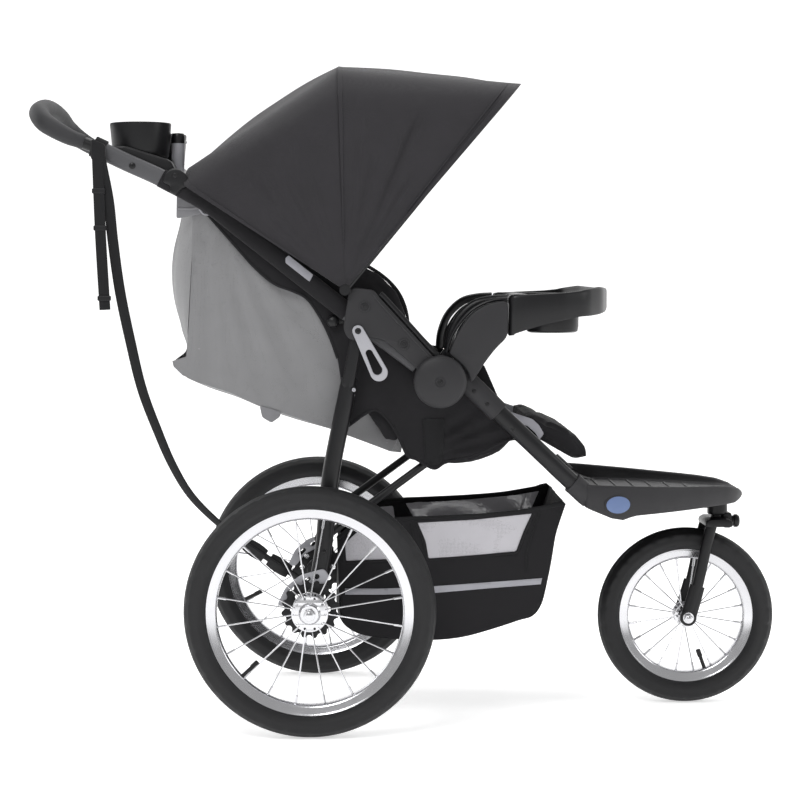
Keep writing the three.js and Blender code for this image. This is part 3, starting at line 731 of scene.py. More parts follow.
for tag, s in SIDES:
    leg = lifted([(62, 566), (55.8, 530), (31.4, 404), (20, 290), (5, 206)], s * LEG_PLANE)
    flat = plate(capsule(LEG_PIVOT, (61, 560), 10, 9.5), s * 227, s * 237, bevel=2.5)
    foot = lathe(faced([(0, -13), (17, -13), (19, -11), (19, 11), (17, 13), (0, 13)], s), (0, REAR_RADIUS),
                 s * LEG_PLANE, 36)
    make("rear_leg_tube" + tag, merged(pipe(leg, 13, 13.2, 36, 24, leg_swell), flat, foot),
         "black_tube", "rear_frame", ["rear_leg" + tag])
    screw("leg_rivet" + tag, (70, 549), s * 237.2, s, 3.2, "rear_frame", "silver_plastic")
    screw("leg_bolt" + tag, (21, 290), s * 238.2, s, 4.5, "rear_frame", "black_tube")
    eye = [(0, -6.4), (12, -6.4), (13, -5.4), (13, 5.4), (12, 6.4), (0, 6.4)]
    eyes = [lathe(eye, spot, s * LINK_PLANE, 32) for spot in (LINK_FOOT, LINK_TOP)]
    make("link_tube" + tag, merged(pipe(lifted((LINK_FOOT, LINK_TOP), s * LINK_PLANE), 6.5), *eyes),
         "black_tube", "links", ["link" + tag])
    pedal = [(-54, 205), (-40, 203), (-22, 226), (2, 238), (24, 240), (31, 250), (22, 264), (-17, 253),
             (-40, 234)]
    cuts = [circle((10, 251), 4.5, 16), capsule((-9, 243), (-3, 247), 3.6),
            capsule((-31, 226), (-24, 233), 3.4)]
    make("pedal_plate" + tag, plate(rounded(pedal, 7), s * 239.2, s * 244.8, cuts, 1.3),
         "silver_plastic", "brake_pedal" + tag, ["brake_pedal" + tag])
make("rear_cross_bar", cross_bar(8, LINK_FOOT, 211), "black_tube", "rear_frame", ["rear_cross_tube"])
make("seat_cross_bar", cross_bar(8, SEAT_CROSS, 203), "black_tube", "lower_frame", ["seat_cross_tube"])

# ---- lower frame

FRONT_TUBE = [(262, 216, 551), (300, 216, 513), (366, 213, 450), (425, 203, 394), (460, 192, 365),
              (500, 172, 353.5), (560, 134, 353), (620, 80, 353.5), (662, 24, 354)]

for tag, s in SIDES:
    route = [(x, s * y, z) for x, y, z in FRONT_TUBE]
    make("front_tube_skin" + tag, pipe(route, 10, 14, 60, 24), "black_tube", "lower_frame",
         ["front_tube" + tag])
    sleeve = pipe(lifted([(222, 590), (302, 511)], s * TUBE_PLANE), 12.6, 17.6, sides=24)
    drum = [(0, 205), (31, 205), (33, 207), (33, 225), (31, 227), (7, 227), (7, 244.2), (0, 244.2)]
    drum = lathe(faced(drum, s), FOLD_HUB, 0, 48)
    make("hub_drum" + tag, merged(drum, sleeve), "charcoal_plastic", "lower_frame",
         ["frame_hub" + tag], bevel=1.2)
    dome = [(0, 0), (41.5, 0), (42, 1), (42, 6.5), (40.5, 9.2), (36, 11.8), (28, 14), (18, 15.8), (9.5, 16.6),
            (8.2, 16.6), (7.4, 15.4), (3.2, 15.2), (2.6, 14.2), (0, 14.1)]
    make("hub_dome" + tag, lathe(faced(dome, s), FOLD_HUB, s * 244.6, 72),
         "charcoal_plastic", "lower_frame", ["hub_cap" + tag])
    screw("hub_screw" + tag, FOLD_HUB, s * 260.2, s, 4.6, "lower_frame", "black_steel", 1.6)
    for index, (x, z) in enumerate(((262, 546), (283, 525), (325, 484))):
        screw(f"tube_rivet{tag}{index}", (x, z), s * (228.4 if index < 2 else 224.6), s, 3.6,
              "lower_frame", "black_steel")

    arm = [(221, 600), (224, 628), (237, 660), (262, 684), (290, 691.5), (315.5, 693)]
    make("arm_loop" + tag, pipe(lifted(arm, s * 217), 8, 7, 40), "black_plastic",
         "lower_frame", ["arm_tube" + tag])
    edge = [(218, 608), (225, 632), (240, 657), (259, 676), (279, 687), (297, 692), (315.3, 693)]
    make("arm_edging" + tag, pipe(lifted(edge, s * 232), 4.2, 3.2, 40, 12),
         "black_plastic", "lower_frame")
    panel = [(221, 606), (230, 598), (243, 588), (252, 576), (256, 560), (262, 566), (279, 593), (297, 616),
             (315.4, 633), (315.4, 690), (296, 689), (277, 683), (258, 671), (244, 654), (230, 630)]
    make("arm_cover" + tag, plate(rounded(panel, 12), s * 229, s * 242, bevel=3.2),
         "charcoal_plastic", "lower_frame", ["arm_panel" + tag])

# ---- trays with a raised rim

def inset(outline, distance):
    """An anticlockwise outline moved inwards."""
    found = []
    count = len(outline)
    for i in range(count):
        a, b, c = (Vector(outline[(i + k) % count]) for k in (-1, 0, 1))
        n = Vector((-(b - a).y, (b - a).x)).normalized()
        m = Vector((-(c - b).y, (c - b).x)).normalized()
        found.append(tuple(b + (n + m) * (distance / (1 + n.dot(m)))))
    return found

def height_along(profile, x):
    return float(np.interp(x, [p[0] for p in profile], [p[1] for p in profile]))

def tray_shell(plan, under, over, floor, wall):
    """A moulded tray: outer wall, rounded rim and inner wall, over a hollow underside. The floor is apart."""
    steps = [(wall + 2, "floor", -1.6), (wall + 2, "under", 2.5), (wall + 0.4, "under", 0.4),
             (1.6, "under", 0),
             (0, "under", 3), (0, "over", -5), (0.8, "over", -1.8), (2.6, "over", 0), (wall - 2.6, "over", 0),
             (wall - 0.8, "over", -1.8), (wall, "over", -5), (wall + 0.6, "floor", 3),
             (wall + 3.5, "floor", 0.2), (wall + 6, "floor", -0.4)]
    rings = []
    for distance, base, rise in steps:
        ring = []
        for (x, y), (x0, y0) in zip(inset(plan, distance), plan):
            z = floor + rise if base == "floor" else (under(x0) if base == "under" else over(x0, y0)) + rise
            ring.append((x, y, z))
        rings.append(ring)
    return loft(rings, caps=False)

def level_plate(outline, z0, z1, holes=(), bevel=0.5):
    """A plate drawn in plan, from x and y, lying level."""
    verts, faces = plate(outline, z0, z1, holes, bevel)
    return [Vector((v.x, v.z, v.y)) for v in verts], faces

def child_tray():
    half = [(317, 241), (360, 240), (400, 236), (445, 214), (474, 170), (487, 110), (492, 40)]
    inner = [(345, 150), (341, 180), (330, 192), (317, 196)]
    plan = rounded([*mirrored_plan(half), *reversed(inner), *[(x, -y) for x, y in inner]], 14, 4)
    under = [(316, 634), (339, 642), (377, 653), (434, 664.5), (461, 666), (484, 671), (492, 684)]
    over = [(316, 699), (425, 704), (445, 708), (469, 712), (492, 709)]
    skin = tray_shell(plan, lambda x: height_along(under, x), lambda x, y: height_along(over, x), 697, 7.5)
    floor = level_plate(inset(plan, 9.4), 695, 697, [circle((392, y), 40, 48) for y in (-165, 165)])
    make("tray_bowl", merged(skin, floor), "black_plastic", "child_tray", ["child_tray"], sharp=50)
    cup = [(0, 638), (37, 638), (41, 640), (42.5, 648), (43, 697.5), (42, 699), (40.2, 698), (39, 650),
           (36, 646), (0, 646)]
    make("tray_cups", merged(*[lathe(cup, (392, y), 0, 48, "Z") for y in (-165, 165)]), "black_plastic",
         "child_tray")

child_tray()

def footrest():
    half = [(441, 213), (475, 209), (517, 195), (560, 178), (600, 156), (640, 130), (672, 104), (698, 82),
            (716, 58), (728, 26)]
    plan = rounded([*mirrored_plan(half), (441, 187), (441, 180), (441, -180), (441, -187)], 12, 4)
    under = [(441, 357), (470, 345), (484, 339), (494, 335), (506, 334.5), (516, 338), (530, 341), (600, 344),
             (709, 349), (728, 356)]
    over = [(441, 394), (520, 389), (600, 384), (670, 380.5), (700, 377.5), (718, 372), (728, 365)]

    def top(x, y):
        """The rim steps down at the back, where the feet come in."""
        return 376 if x < 450 and abs(y) < 184 else height_along(over, x)

    skin = tray_shell(plan, lambda x: height_along(under, x), top, 367, 9)
    floor = level_plate(inset(plan, 11), 364.5, 367)
    make("deck_shell", merged(skin, floor), "charcoal_plastic", "lower_frame", ["footrest_deck"], sharp=50)
    ribs = [plate(capsule((x, 366.8), (x, 367.8), 1.8), -half_y, half_y, bevel=0.6)
            for x, half_y in ((490, 165), (520, 155), (550, 140), (580, 120), (610, 100), (640, 75))]
    make("deck_ribs", merged(*ribs), "charcoal_plastic", "lower_frame")
    for tag, s in SIDES:
        route = curve_through([(x, s * y, z) for x, y, z in FRONT_TUBE], 60)
        collar = [p for p in route if 418 < p.x < 452]
        make("deck_socket" + tag, sweep(collar, ellipse(12.6, 17.4, 28)), "charcoal_plastic",
             "lower_frame", bevel=1.0)
        face = Vector((42, -s * 14, 0)).normalized()
        outward = Vector((face.y * -s, face.x * s, 0))
        middle = Vector((496, s * 202.6, 360))
        for label, size, lift, material in (("ring", 1.14, 0.6, None), ("face", 1.0, 1.6, BADGE_BLUE)):
            levels = ((1.0, -3), (1.0, lift - 0.6), (0.93, lift), (0.4, lift + 0.5), (0.02, lift + 0.6))
            rings = [[middle + face * u + Vector((0, 0, v)) + outward * height
                      for u, v in ellipse(21 * size * share, 13.8 * size * share, 48)]
                     for share, height in levels]
            make(f"badge_{label}{tag}", loft(rings), "charcoal_plastic", "lower_frame", material=material)

footrest()

# ---- head tube and fork

ring = [(11.4, 323), (15.5, 323), (17, 324.5), (17, 364.5), (15.5, 366), (11.4, 366), (11.4, 323)]
make("head_barrel", merged(lathe(ring, (STEERER_X, 0), 0, 40, "Z"),
                           plate(rounded([(636, 334), (675, 334), (675, 366), (636, 366)], 4), -11, 11)),
     "black_tube", "lower_frame", ["head_tube"])
crown_side = rounded([(663, 304.5), (709, 304.5), (709, 314), (702, 318), (670, 318), (663, 313)], 4)
legs = []
for s in (-1, 1):
    leg = [(675, s * 35, 311), (666, s * 36.5, 276), (650, s * 36.5, 202),
           (WHEELBASE + 1, s * 36.5, FRONT_RADIUS + 4)]
    legs.append(pipe(leg, 6, 9.5, 30, 24))
    sleeve = lifted([(650.5, 204), (643, 177), (WHEELBASE, FRONT_RADIUS)], s * 36.5)
    legs.append(pipe(sleeve, 5.7, 13.6, 16, 24, lambda t: 0.95 + 0.05 * t))
    legs.append(lathe([(0, -5.6), (12.6, -5.6), (13.8, -4.4), (13.8, 4.4), (12.6, 5.6), (0, 5.6)],
                      (WHEELBASE, FRONT_RADIUS), s * 36.5, 32))
stem = lathe([(0, 314), (11, 314), (11, 364.5), (0, 364.5)], (STEERER_X, 0), 0, 32, "Z")
make("fork_legs", merged(plate(crown_side, -43, 43, bevel=2), stem, *legs), "black_tube", "fork",
     ["front_fork"])
knob = [(0, 712.6), (8, 712.6), (9, 713.4), (9, 716.5), (11, 717.6), (11.2, 720), (11, 723.4), (9.4, 724.4),
        (8.6, 726.2), (5, 727), (0, 727.1)]
make("lock_knob", lathe(knob, (0, 311), 0, 32, "X"), "black_plastic", "swivel_lock", ["swivel_lock_knob"])
housing = plate(rounded([(697, 300), (712, 300), (712, 326), (697, 326)], 5), -13, 13, bevel=2)
neck = lathe([(0, 700), (10.5, 700), (10.5, 711.6), (9, 712.2), (0, 712.2)], (0, 311), 0, 28, "X")
make("lock_housing", merged(housing, neck), "black_plastic", "fork")

# ---- upper frame

for tag, s in SIDES:
    route = [(172, 588), (116, 630), (60, 672), (-20, 735), (-100, 798), (-165, 848), (-235, 886),
             (-290, 911), (-336, 933)]
    section = [(10 * math.copysign(abs(a) ** 0.6, a), 14 * math.copysign(abs(b) ** 0.75, b))
               for a, b in ellipse(1, 1, 28)]
    tube = sweep(curve_through(lifted(route, s * TUBE_PLANE), 60), section)
    make("upper_tube_skin" + tag, tube, "grey_tube", "upper_frame", ["upper_tube" + tag])
    screw("handle_screw" + tag, (-280, 905), s * 226.2, s, 5.2, "upper_frame")
    covered = curve_through(lifted(route[2:7], s * TUBE_PLANE), 40)
    make("tube_sleeve" + tag, sweep(covered, [(a * 1.09, b * 1.07) for a, b in section]), "seat_fabric",
         "upper_frame")
    outline = [(64, 713), (53, 645), (64, 627), (102, 632), (118, 628), (167, 586), (185, 562), (207, 540),
               (225, 562), (207, 590), (191, 608), (110, 697), (102, 708)]
    disc = plate(circle(FOLD_HUB, 30, 48), s * 238, s * 243.6, bevel=1)
    make("bracket" + tag, merged(plate(rounded(outline, 11, 6), s * 237.6, s * 244, bevel=2), disc),
         "charcoal_plastic", "upper_frame", ["side_bracket" + tag])
    rib = [(101.5, 701), (110.5, 689), (148.5, 647.5), (188.5, 603.5), (196.5, 593)]
    make("bracket_rib" + tag, pipe(lifted(rib, s * 243.6), 1.8, 2.2, 30, 12),
         "charcoal_plastic", "upper_frame")
    upper_edge = [(112, 702), (122, 692), (160, 650), (200, 606), (216, 592)]
    make("bracket_edge" + tag, pipe(lifted(upper_edge, s * 236), 3.2, 4.5, 24, 12),
         "black_plastic", "upper_frame")
    for index, spot in enumerate(((88, 682), (150, 622))):
        cup = [(9, 0.2), (8.6, 1.2), (6.6, 1.2), (6.0, -0.4), (5.4, -0.4), (4.6, 0.8), (0, 1.2)]
        make(f"bracket_rivet{tag}{index}", lathe(faced(cup, s), spot, s * 244, 32),
             "charcoal_plastic", "upper_frame")
        screw(f"bracket_pin{tag}{index}", spot, s * 244, s, 4, "upper_frame", "black_steel", 1.8)
    ring_pull = plate(capsule(LEG_PIVOT, (110, 577), 9.2, 14, 16), s * 244.9, s * 249.2,
                      [capsule((94.5, 608), (107.5, 581), 5.4, 7.8, 12)], 1.5)
    make("latch_pull" + tag, ring_pull, "silver_plastic", "fold_latch" + tag,
         ["fold_latch" + tag])
    screw("latch_screw" + tag, LEG_PIVOT, s * 249, s, 5, "upper_frame", "black_steel", 2.2)

HANDLE_HALF = [(-338, -216, 934.5), (-382, -216, 952), (-417, -208, 972), (-434, -176, 989),
               (-438, -104, 1003), (-440, 0, 1009)]
make("handle_bar", bar_across(mirror_y(HANDLE_HALF), 9.8, 80), "black_tube", "upper_frame", ["handle_tube"])
GRIP_HALF = [(-357, -216, 942.8), *HANDLE_HALF[1:]]

def grip_swell(t):
    """The grip is fullest where the hands lie and rolls in at both ends."""
    end = min(t, 1 - t)
    return 0.72 + 0.06 * min(end / 0.02, 1) + 0.24 * min(max(end - 0.05, 0) / 0.16, 1)

make("grip_sleeve", bar_across(mirror_y(GRIP_HALF), 15.3, 120, 28, grip_swell), "grip_foam", "upper_frame",
     ["handle_grip"])

def console():
    top, bottom = 977, 920
    cup_spots = [(-274, -150), (-274, 150)]
    slab = rounded([(-326, 919), (-222, 877), (-211, 891), (-221, 915), (-294, 938), (-328, 938)], 7)
    base = make("console_tray", plate(slab, -205, 205, bevel=3), "black_plastic", "upper_frame",
                ["console_body"], sharp=30)
    holes = [lathe([(0, 870), (45, 870), (47.4, 990), (0, 990)], spot, 0, 56, "Z") for spot in cup_spots]
    carved(base, *holes, plate([(-319, 870), (-225, 870), (-225, 990), (-319, 990)], -79, 79, bevel=1))
    cup = [(0, bottom), (42, bottom), (44.6, bottom + 3), (46, bottom + 14), (49.4, top - 3), (49, top - 0.6),
           (48, top), (47, top - 0.8), (43.4, bottom + 8), (40, bottom + 4), (0, bottom + 4)]
    make("console_cups", merged(*[lathe(cup, spot, 0, 64, "Z") for spot in cup_spots]), "black_plastic",
         "upper_frame")
    wall = rounded([(-322, -82), (-222, -82), (-222, 82), (-322, 82)], 9)
    room = rounded([(-317.5, -77.5), (-226.5, -77.5), (-226.5, 77.5), (-317.5, 77.5)], 7)
    levels = ((inset(wall, 3), 918), (wall, 921), (wall, 956), (inset(wall, 1), 957), (room, 957),
              (room, 924), (inset(room, 4), 922))
    rings = [[(x, y, z) for x, y in outline] for outline, z in levels]
    make("console_bin", loft(rings), "black_plastic", "upper_frame", sharp=45)
    lid = rounded([(-321, -81), (-217, -81), (-217, 81), (-321, 81)], 8)
    shells = [[(x, y, z) for x, y in inset(lid, d)] for d, z in
              ((1.5, 957.5), (0, 958.6), (0, 960.2), (1.2, 961.5), (10, 961.5), (11, 961.1))]
    make("console_cover", loft(shells), "black_plastic", "console_lid", ["console_lid"])
    post = [(0, 896), (9.5, 896), (10.3, 898), (10.3, 949), (9, 950), (0, 950)]
    cap = [(10.8, 946), (11.2, 948), (11.2, 958), (9.6, 962), (0, 963)]
    spot = (-216, -128)
    make("console_post", lathe(post, spot, 0, 32, "Z"), "silver_plastic", "upper_frame")
    make("console_post_cap", lathe(cap, spot, 0, 32, "Z"), "black_plastic", "upper_frame")

console()

for tag, s in SIDES:
    clamp = [(-230, 893), (-219, 901), (-205, 900), (-192, 889), (-192, 872), (-203, 868), (-210, 858),
             (-221, 862), (-219, 874), (-232, 878)]
    make("canopy_clamp" + tag, plate(rounded(clamp, 6), s * 204, s * 231, bevel=3), "black_plastic",
         "upper_frame")
    screw("clamp_screw" + tag, (-212, 890), s * 231, s, 4, "upper_frame", "black_steel")
    tab = [(-38, 759), (-33, 763), (6, 732), (0, 721), (-38, 751)]
    make("care_tab" + tag, plate(rounded(tab, 2), s * 227, s * 228.6, bevel=0.5), "mesh_fabric",
         "upper_frame", material=REFLECTIVE)
    ball = [(0, 0), (7, 0), (9.4, 2.4), (10, 6), (9, 10), (6, 12.6), (0, 13.4)]
    make("strap_knob" + tag, lathe(faced(ball, s), (37, 657), s * 206.5, 28),
         "black_plastic", "upper_frame")
    make("knob_arm" + tag, plate(capsule((37, 657), (60, 660), 5), s * 206.5, s * 210.5, bevel=1),
         "black_plastic", "upper_frame")

# ---- cloth helpers

def ease(value):
    value = min(max(value, 0.0), 1.0)
    return value * value * (3 - 2 * value)

def bell(value, width):
    return math.exp(-(value / width) ** 2)

def flat_cloth(outline, pitch, shape, holes=()):
    """A flat cut in the side view, gridded at the pitch, whose points shape(x, z) moves to their own y."""
    curve, holder = filled_curve((outline, *holes))
    work = bmesh.new()
    work.from_mesh(holder.to_mesh())
    drop_curve(curve, holder)
    bmesh.ops.remove_doubles(work, verts=work.verts, dist=0.01)
    for axis in (0, 1):
        spots = [p[axis] for p in outline]
        normal = (1, 0, 0) if axis == 0 else (0, 1, 0)
        for step in range(1, int((max(spots) - min(spots)) / pitch) + 1):
            place = [0, 0, 0]
            place[axis] = min(spots) + step * pitch
            bmesh.ops.bisect_plane(work, geom=[*work.verts, *work.edges, *work.faces], dist=0.05,
                                   plane_co=place, plane_no=normal)
    verts = [Vector((v.co.x, shape(v.co.x, v.co.y), v.co.y)) for v in work.verts]
    work.verts.index_update()
    faces = [tuple(v.index for v in face.verts) for face in work.faces]
    work.free()
    return verts, faces

def grid(rows):
    """An open sheet through rows of points."""
    return loft(rows, closed=False)

def declare_sheet(piece, along, across):
    """Works out a cloth piece's own measured area, capped at the product of its two cut lengths given in mm;
    nothing is done with the result.
    """
    area = sum(polygon.area for polygon in piece.data.polygons)
    width, length = across * MM, along * MM
    area = min(area, width * length)

def longest(rows):
    return max(sum((b - a).length for a, b in zip(row, row[1:])) for row in rows)

# ---- canopy

def hoop(plane, side, crown, start, steps=44):
    """Half a canopy hoop as [y, radius] points, from the pivot side over to the middle line."""
    half = [(plane, start), (plane, side * 0.4), (plane - 2, side * 0.7), (plane - 9, side * 0.88),
            (plane - 25, side * 0.965), (plane - 58, side * 0.6 + crown * 0.4),
            (115, side * 0.25 + crown * 0.75), (0, crown)]
    return [(p.x, p.y) for p in curve_through([(y, r, 0) for y, r in half], steps)]

def on_hoop(profile, angle, skirt=0):
    """A hoop at an angle about the pivot, whose sides hang a little past it as a skirt."""
    points = []
    for y, r in profile:
        turn = angle + skirt * ease((y - 195) / 45)
        points.append((CANOPY_PIVOT[0] + r * math.cos(turn), y, CANOPY_PIVOT[1] + r * math.sin(turn)))
    return [Vector((x, -y, z)) for x, y, z in points] + [Vector(p) for p in reversed(points[:-1])]

HOOPS = {
    "rear": on_hoop(hoop(258, 314, 318, 10), CANOPY_REAR, math.radians(4.6)),
    "middle": on_hoop(hoop(258, 334, 372, 10), CANOPY_MIDDLE),
    "front": on_hoop(hoop(258, 422, 441, 10), CANOPY_FRONT),
}

def canopy_panel(name, first, last, angles, node, creases, puff):
    """A panel stretched between two hoops, with air under its crown and soft creases down its sides."""
    start, end = HOOPS[first], HOOPS[last]
    chord = Vector((math.cos(sum(angles) / 2), 0, math.sin(sum(angles) / 2)))
    rows = []
    steps = 40
    for i in range(steps + 1):
        share = i / steps
        arch = 4 * share * (1 - share)
        row = []
        for a, b in zip(start, end):
            point = a.lerp(b, share)
            over = ease((190 - abs(point.y)) / 110)
            point = point + chord * (puff * over * arch)
            reach = (Vector((point.x, point.z)) - Vector(CANOPY_PIVOT)).length
            lean = math.atan2(point.z - CANOPY_PIVOT[1], point.x - CANOPY_PIVOT[0])
            wave = 0.0
            for angle, low, high, depth, width in creases:
                along = ease((reach - low) / 40) * ease((high - reach) / 60)
                wave += 1.5 * depth * along * bell(math.degrees(lean) - angle, width * 160 / max(reach, 60))
            drape = noise.noise(Vector((point.x * 0.011, point.y * 0.009, point.z * 0.011))) * 2.2
            inwards = (wave - drape - 2.2) * arch ** 0.5 * (1 - over)
            point.y -= math.copysign(inwards, point.y) if abs(point.y) > 1 else 0
            point += chord * (drape * over * arch)
            row.append(point)
        rows.append(row)
    piece = make(name, grid(rows), "canopy_fabric", None, [node], thick=1.3)
    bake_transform(piece)
    across = max(longest([rows[0], rows[-1]]), longest([rows[steps // 2]]))
    along = longest([[row[i] for row in rows] for i in range(len(rows[0]))])
    declare_sheet(piece, along, across)

def along_cloth(first, last, share, lift):
    """A line on the cloth between two hoops, a share of the way across and a little off it."""
    found = []
    for a, b in zip(HOOPS[first], HOOPS[last]):
        point = a.lerp(b, share)
        x, z = point.x - CANOPY_PIVOT[0], point.z - CANOPY_PIVOT[1]
        side = math.copysign(lift, point.y) * ease(abs(point.y) / 200)
        reach = 1 + lift * (1 - ease(abs(point.y) / 260)) / max(math.hypot(x, z), 1)
        found.append(Vector((CANOPY_PIVOT[0] + x * reach, point.y + side, CANOPY_PIVOT[1] + z * reach)))
    return found

def hem_along(name, first, last, shares, thickness, trim, body):
    """A sewn double hem that lies on the cloth between two hoops."""
    low, high = -0.6, thickness
    edges = [along_cloth(first, last, share, lift) for share, lift in
             ((shares[0], low), (shares[1], low), (shares[1], high), (shares[0], high))]
    rings = [list(ring) for ring in zip(*edges)][trim:-trim]
    return make(name, loft(rings), "canopy_fabric", body, bevel=0.5)

middle_seam = hem_along("canopy_middle_seam", "middle", "front", (0, 0.026), 1.8, 3, "middle_bow")
front_hem = hem_along("canopy_front_hem", "front", "middle", (-0.004, 0.036), 1.9, 3, "front_bow")
hem_stitch = hem_along("canopy_hem_fold", "front", "middle", (0.066, 0.075), 2.2, 6, "front_bow")
rear_hem = hem_along("canopy_rear_hem", "rear", "middle", (-0.008, 0.02), 2, 3, "upper_frame")

canopy_panel("canopy_rear_sheet", "rear", "middle", (CANOPY_REAR, CANOPY_MIDDLE),
             "canopy_rear", [(128, 150, 330, 3.5, 3), (118, 90, 300, 3, 2.4), (108, 60, 290, 2.5, 2.5),
                             (135, 60, 200, 3, 2.6)], 14)
canopy_panel("canopy_front_sheet", "middle", "front",
             (CANOPY_MIDDLE, CANOPY_FRONT), "canopy_front",
             [(78, 30, 240, 5, 3.4), (67, 30, 330, 6, 3), (60, 60, 250, 5, 2.4), (84, 60, 330, 2.5, 2)], 6)

# ---- rear mesh enclosure

TIE = (-168, 850)

def enclosure_y(x, z):
    """How far out the side mesh lies: pulled in at the tie and towards the seat, creased between."""
    slope = (x - TIE[0]) / (TIE[1] + 40 - z)
    fan = 0
    for where, depth, width in ((-0.10, 5, 0.035), (0.02, 7, 0.045), (0.14, 5, 0.04), (0.27, 6, 0.055),
                                (0.46, 5, 0.07), (0.7, 4, 0.09)):
        fan += depth * bell(slope - where, width)
    fan *= ease((TIE[1] - z) / 60) * (0.45 + 0.55 * ease((z - 520) / 160))
    slack = 4 * noise.noise(Vector((x * 0.012, 0, z * 0.012)))
    tuck = 40 * ease((x - 20) / 110) * ease((560 - z) / 90)
    return MESH_HALF - 5 - fan - 2.5 - slack - tuck

ENCLOSURE = [(-176, 852), (-188, 842), (-190, 740), (-195, 660), (-200, 601), (-222, 594), (-220, 585),
             (-206, 571), (-183, 560), (-129, 543), (-86, 523), (-50, 511), (-10, 498), (31, 484), (70, 468),
             (128, 444), (146, 442), (150, 462), (112, 512), (55, 575), (47, 610), (20, 665), (-20, 705),
             (-60, 722), (-100, 762), (-150, 826), (-165, 846)]

def rear_curve():
    """The line down the back and forward under the seat, with how far each point bellies at the middle."""
    points = [(-187, 842, 25), (-188, 815, 29), (-189, 775, 38), (-191, 735, 40), (-194, 690, 34),
              (-197, 645, 19), (-200, 610, 4), (-218, 594, 1), (-217, 584, 2), (-200, 568, 5), (-170, 556, 8),
              (-120, 541, 10), (-70, 520, 10), (-20, 502, 8), (31, 486, 6), (75, 470, 3), (124, 446, 1)]
    return curve_through(points, 84)

def mesh_enclosure():
    for tag, s in SIDES:
        cut = flat_cloth(ENCLOSURE, 9, lambda x, z: s * enclosure_y(x, z))
        wall = make("mesh_wall" + tag, cut, "mesh_fabric", sharp=80)
        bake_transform(wall)
        declare_sheet(wall, 410, 370)
        pull = rounded([(-82, 522), (-78, 503), (-63, 494), (-49, 504), (-48, 512)], 4)
        tab = make("mesh_pull" + tag, plate(pull, s * 195, s * 197, bevel=0.6), "mesh_fabric",
                   material=PALE_GREY)
        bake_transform(tab)
        band = [(-212, 861), (-200, 871), (-183, 873), (-152, 852), (-146, 843), (-154, 834), (-180, 828),
                (-213, 822)]
        make("mesh_band" + tag, plate(rounded(band, 4), s * 200, s * 204, bevel=1.2), "mesh_fabric",
             "upper_frame", material=PALE_GREY)
        stitch = [(-211, 838), (-190, 838), (-166, 842), (-150, 845)]
        make("mesh_band_fold" + tag, pipe(lifted(stitch, s * 204), 1.6, 2.4, 20, 10),
             "mesh_fabric", "upper_frame", material=PALE_GREY)
        oval = [(-176, s * 205, 837), (-168, s * 206, 829), (-157, s * 206, 830), (-152, s * 205, 838)]
        make("mesh_ring" + tag, pipe(oval, 1.7, steps=24, sides=10), "silver_plastic", "upper_frame")
    rows = []
    curve = rear_curve()
    for i, spot in enumerate(curve):
        along = curve[min(i + 1, len(curve) - 1)] - curve[max(i - 1, 0)]
        out = Vector((-along.y, along.x)).normalized()
        if out.dot(Vector((spot.x, spot.y - 640))) < 0:
            out.negate()
        row = []
        for j in range(65):
            y = -1 + 2 * j / 64
            half = enclosure_y(spot.x, spot.y)
            belly = spot.z * (1 - y ** 4)
            ripple = 3.5 * noise.noise(Vector((y * 4.5, i * 0.05, 2))) + 1.6 * math.sin(y * 23) * bell(y, 0.9)
            lift = belly + ripple * ease(spot.z / 10) * (1 - y ** 6)
            row.append(Vector((spot.x + out.x * lift, y * half, spot.y + out.y * lift)))
        rows.append(row)
    rear = make("mesh_rear", grid(rows), "mesh_fabric", None, ["mesh_enclosure"], sharp=80)
    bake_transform(rear)
    declare_sheet(rear, longest([[row[32] for row in rows]]) * 1.002, longest(rows) * 1.002)

mesh_enclosure()

# ---- side cloth of the seat

SIDE_STRIP = [(-190, 868), (-166, 832), (-121, 781), (-86, 742), (-57, 718), (-27, 706), (-6, 695), (14, 668),
              (32, 632), (44, 598), (52, 540), (57, 500), (61, 489), (103, 515), (123, 500), (142, 469),
              (157, 439), (170, 434), (188, 423), (201, 419), (216, 428), (244, 434), (278, 446), (300, 457),
              (325, 466), (337, 466), (340, 480), (316, 500), (262, 548), (207, 592), (116, 640), (60, 684),
              (-20, 747), (-100, 810), (-165, 858)]

def side_cloth_y(x, z):
    """The side cloth hangs from the tube, tucks in under the hub and is gathered into pleats below it."""
    tuck = ease((x - 90) / 60) * ease((560 - z) / 80)
    ray = math.degrees(math.atan2(z - 425, x - 150))
    pleat = sum(depth * bell(ray - where, width) for where, depth, width in
                ((6, 5, 3), (15, 7, 3.2), (25, 6, 3.4), (37, 6, 4), (52, 4, 5)))
    pleat *= ease((x - 200) / 30) * ease((345 - x) / 50)
    slack = 3.2 * noise.noise(Vector((x * 0.016, 3, z * 0.016)))
    return 203.6 - 12 * tuck - pleat * tuck - max(slack, 0)

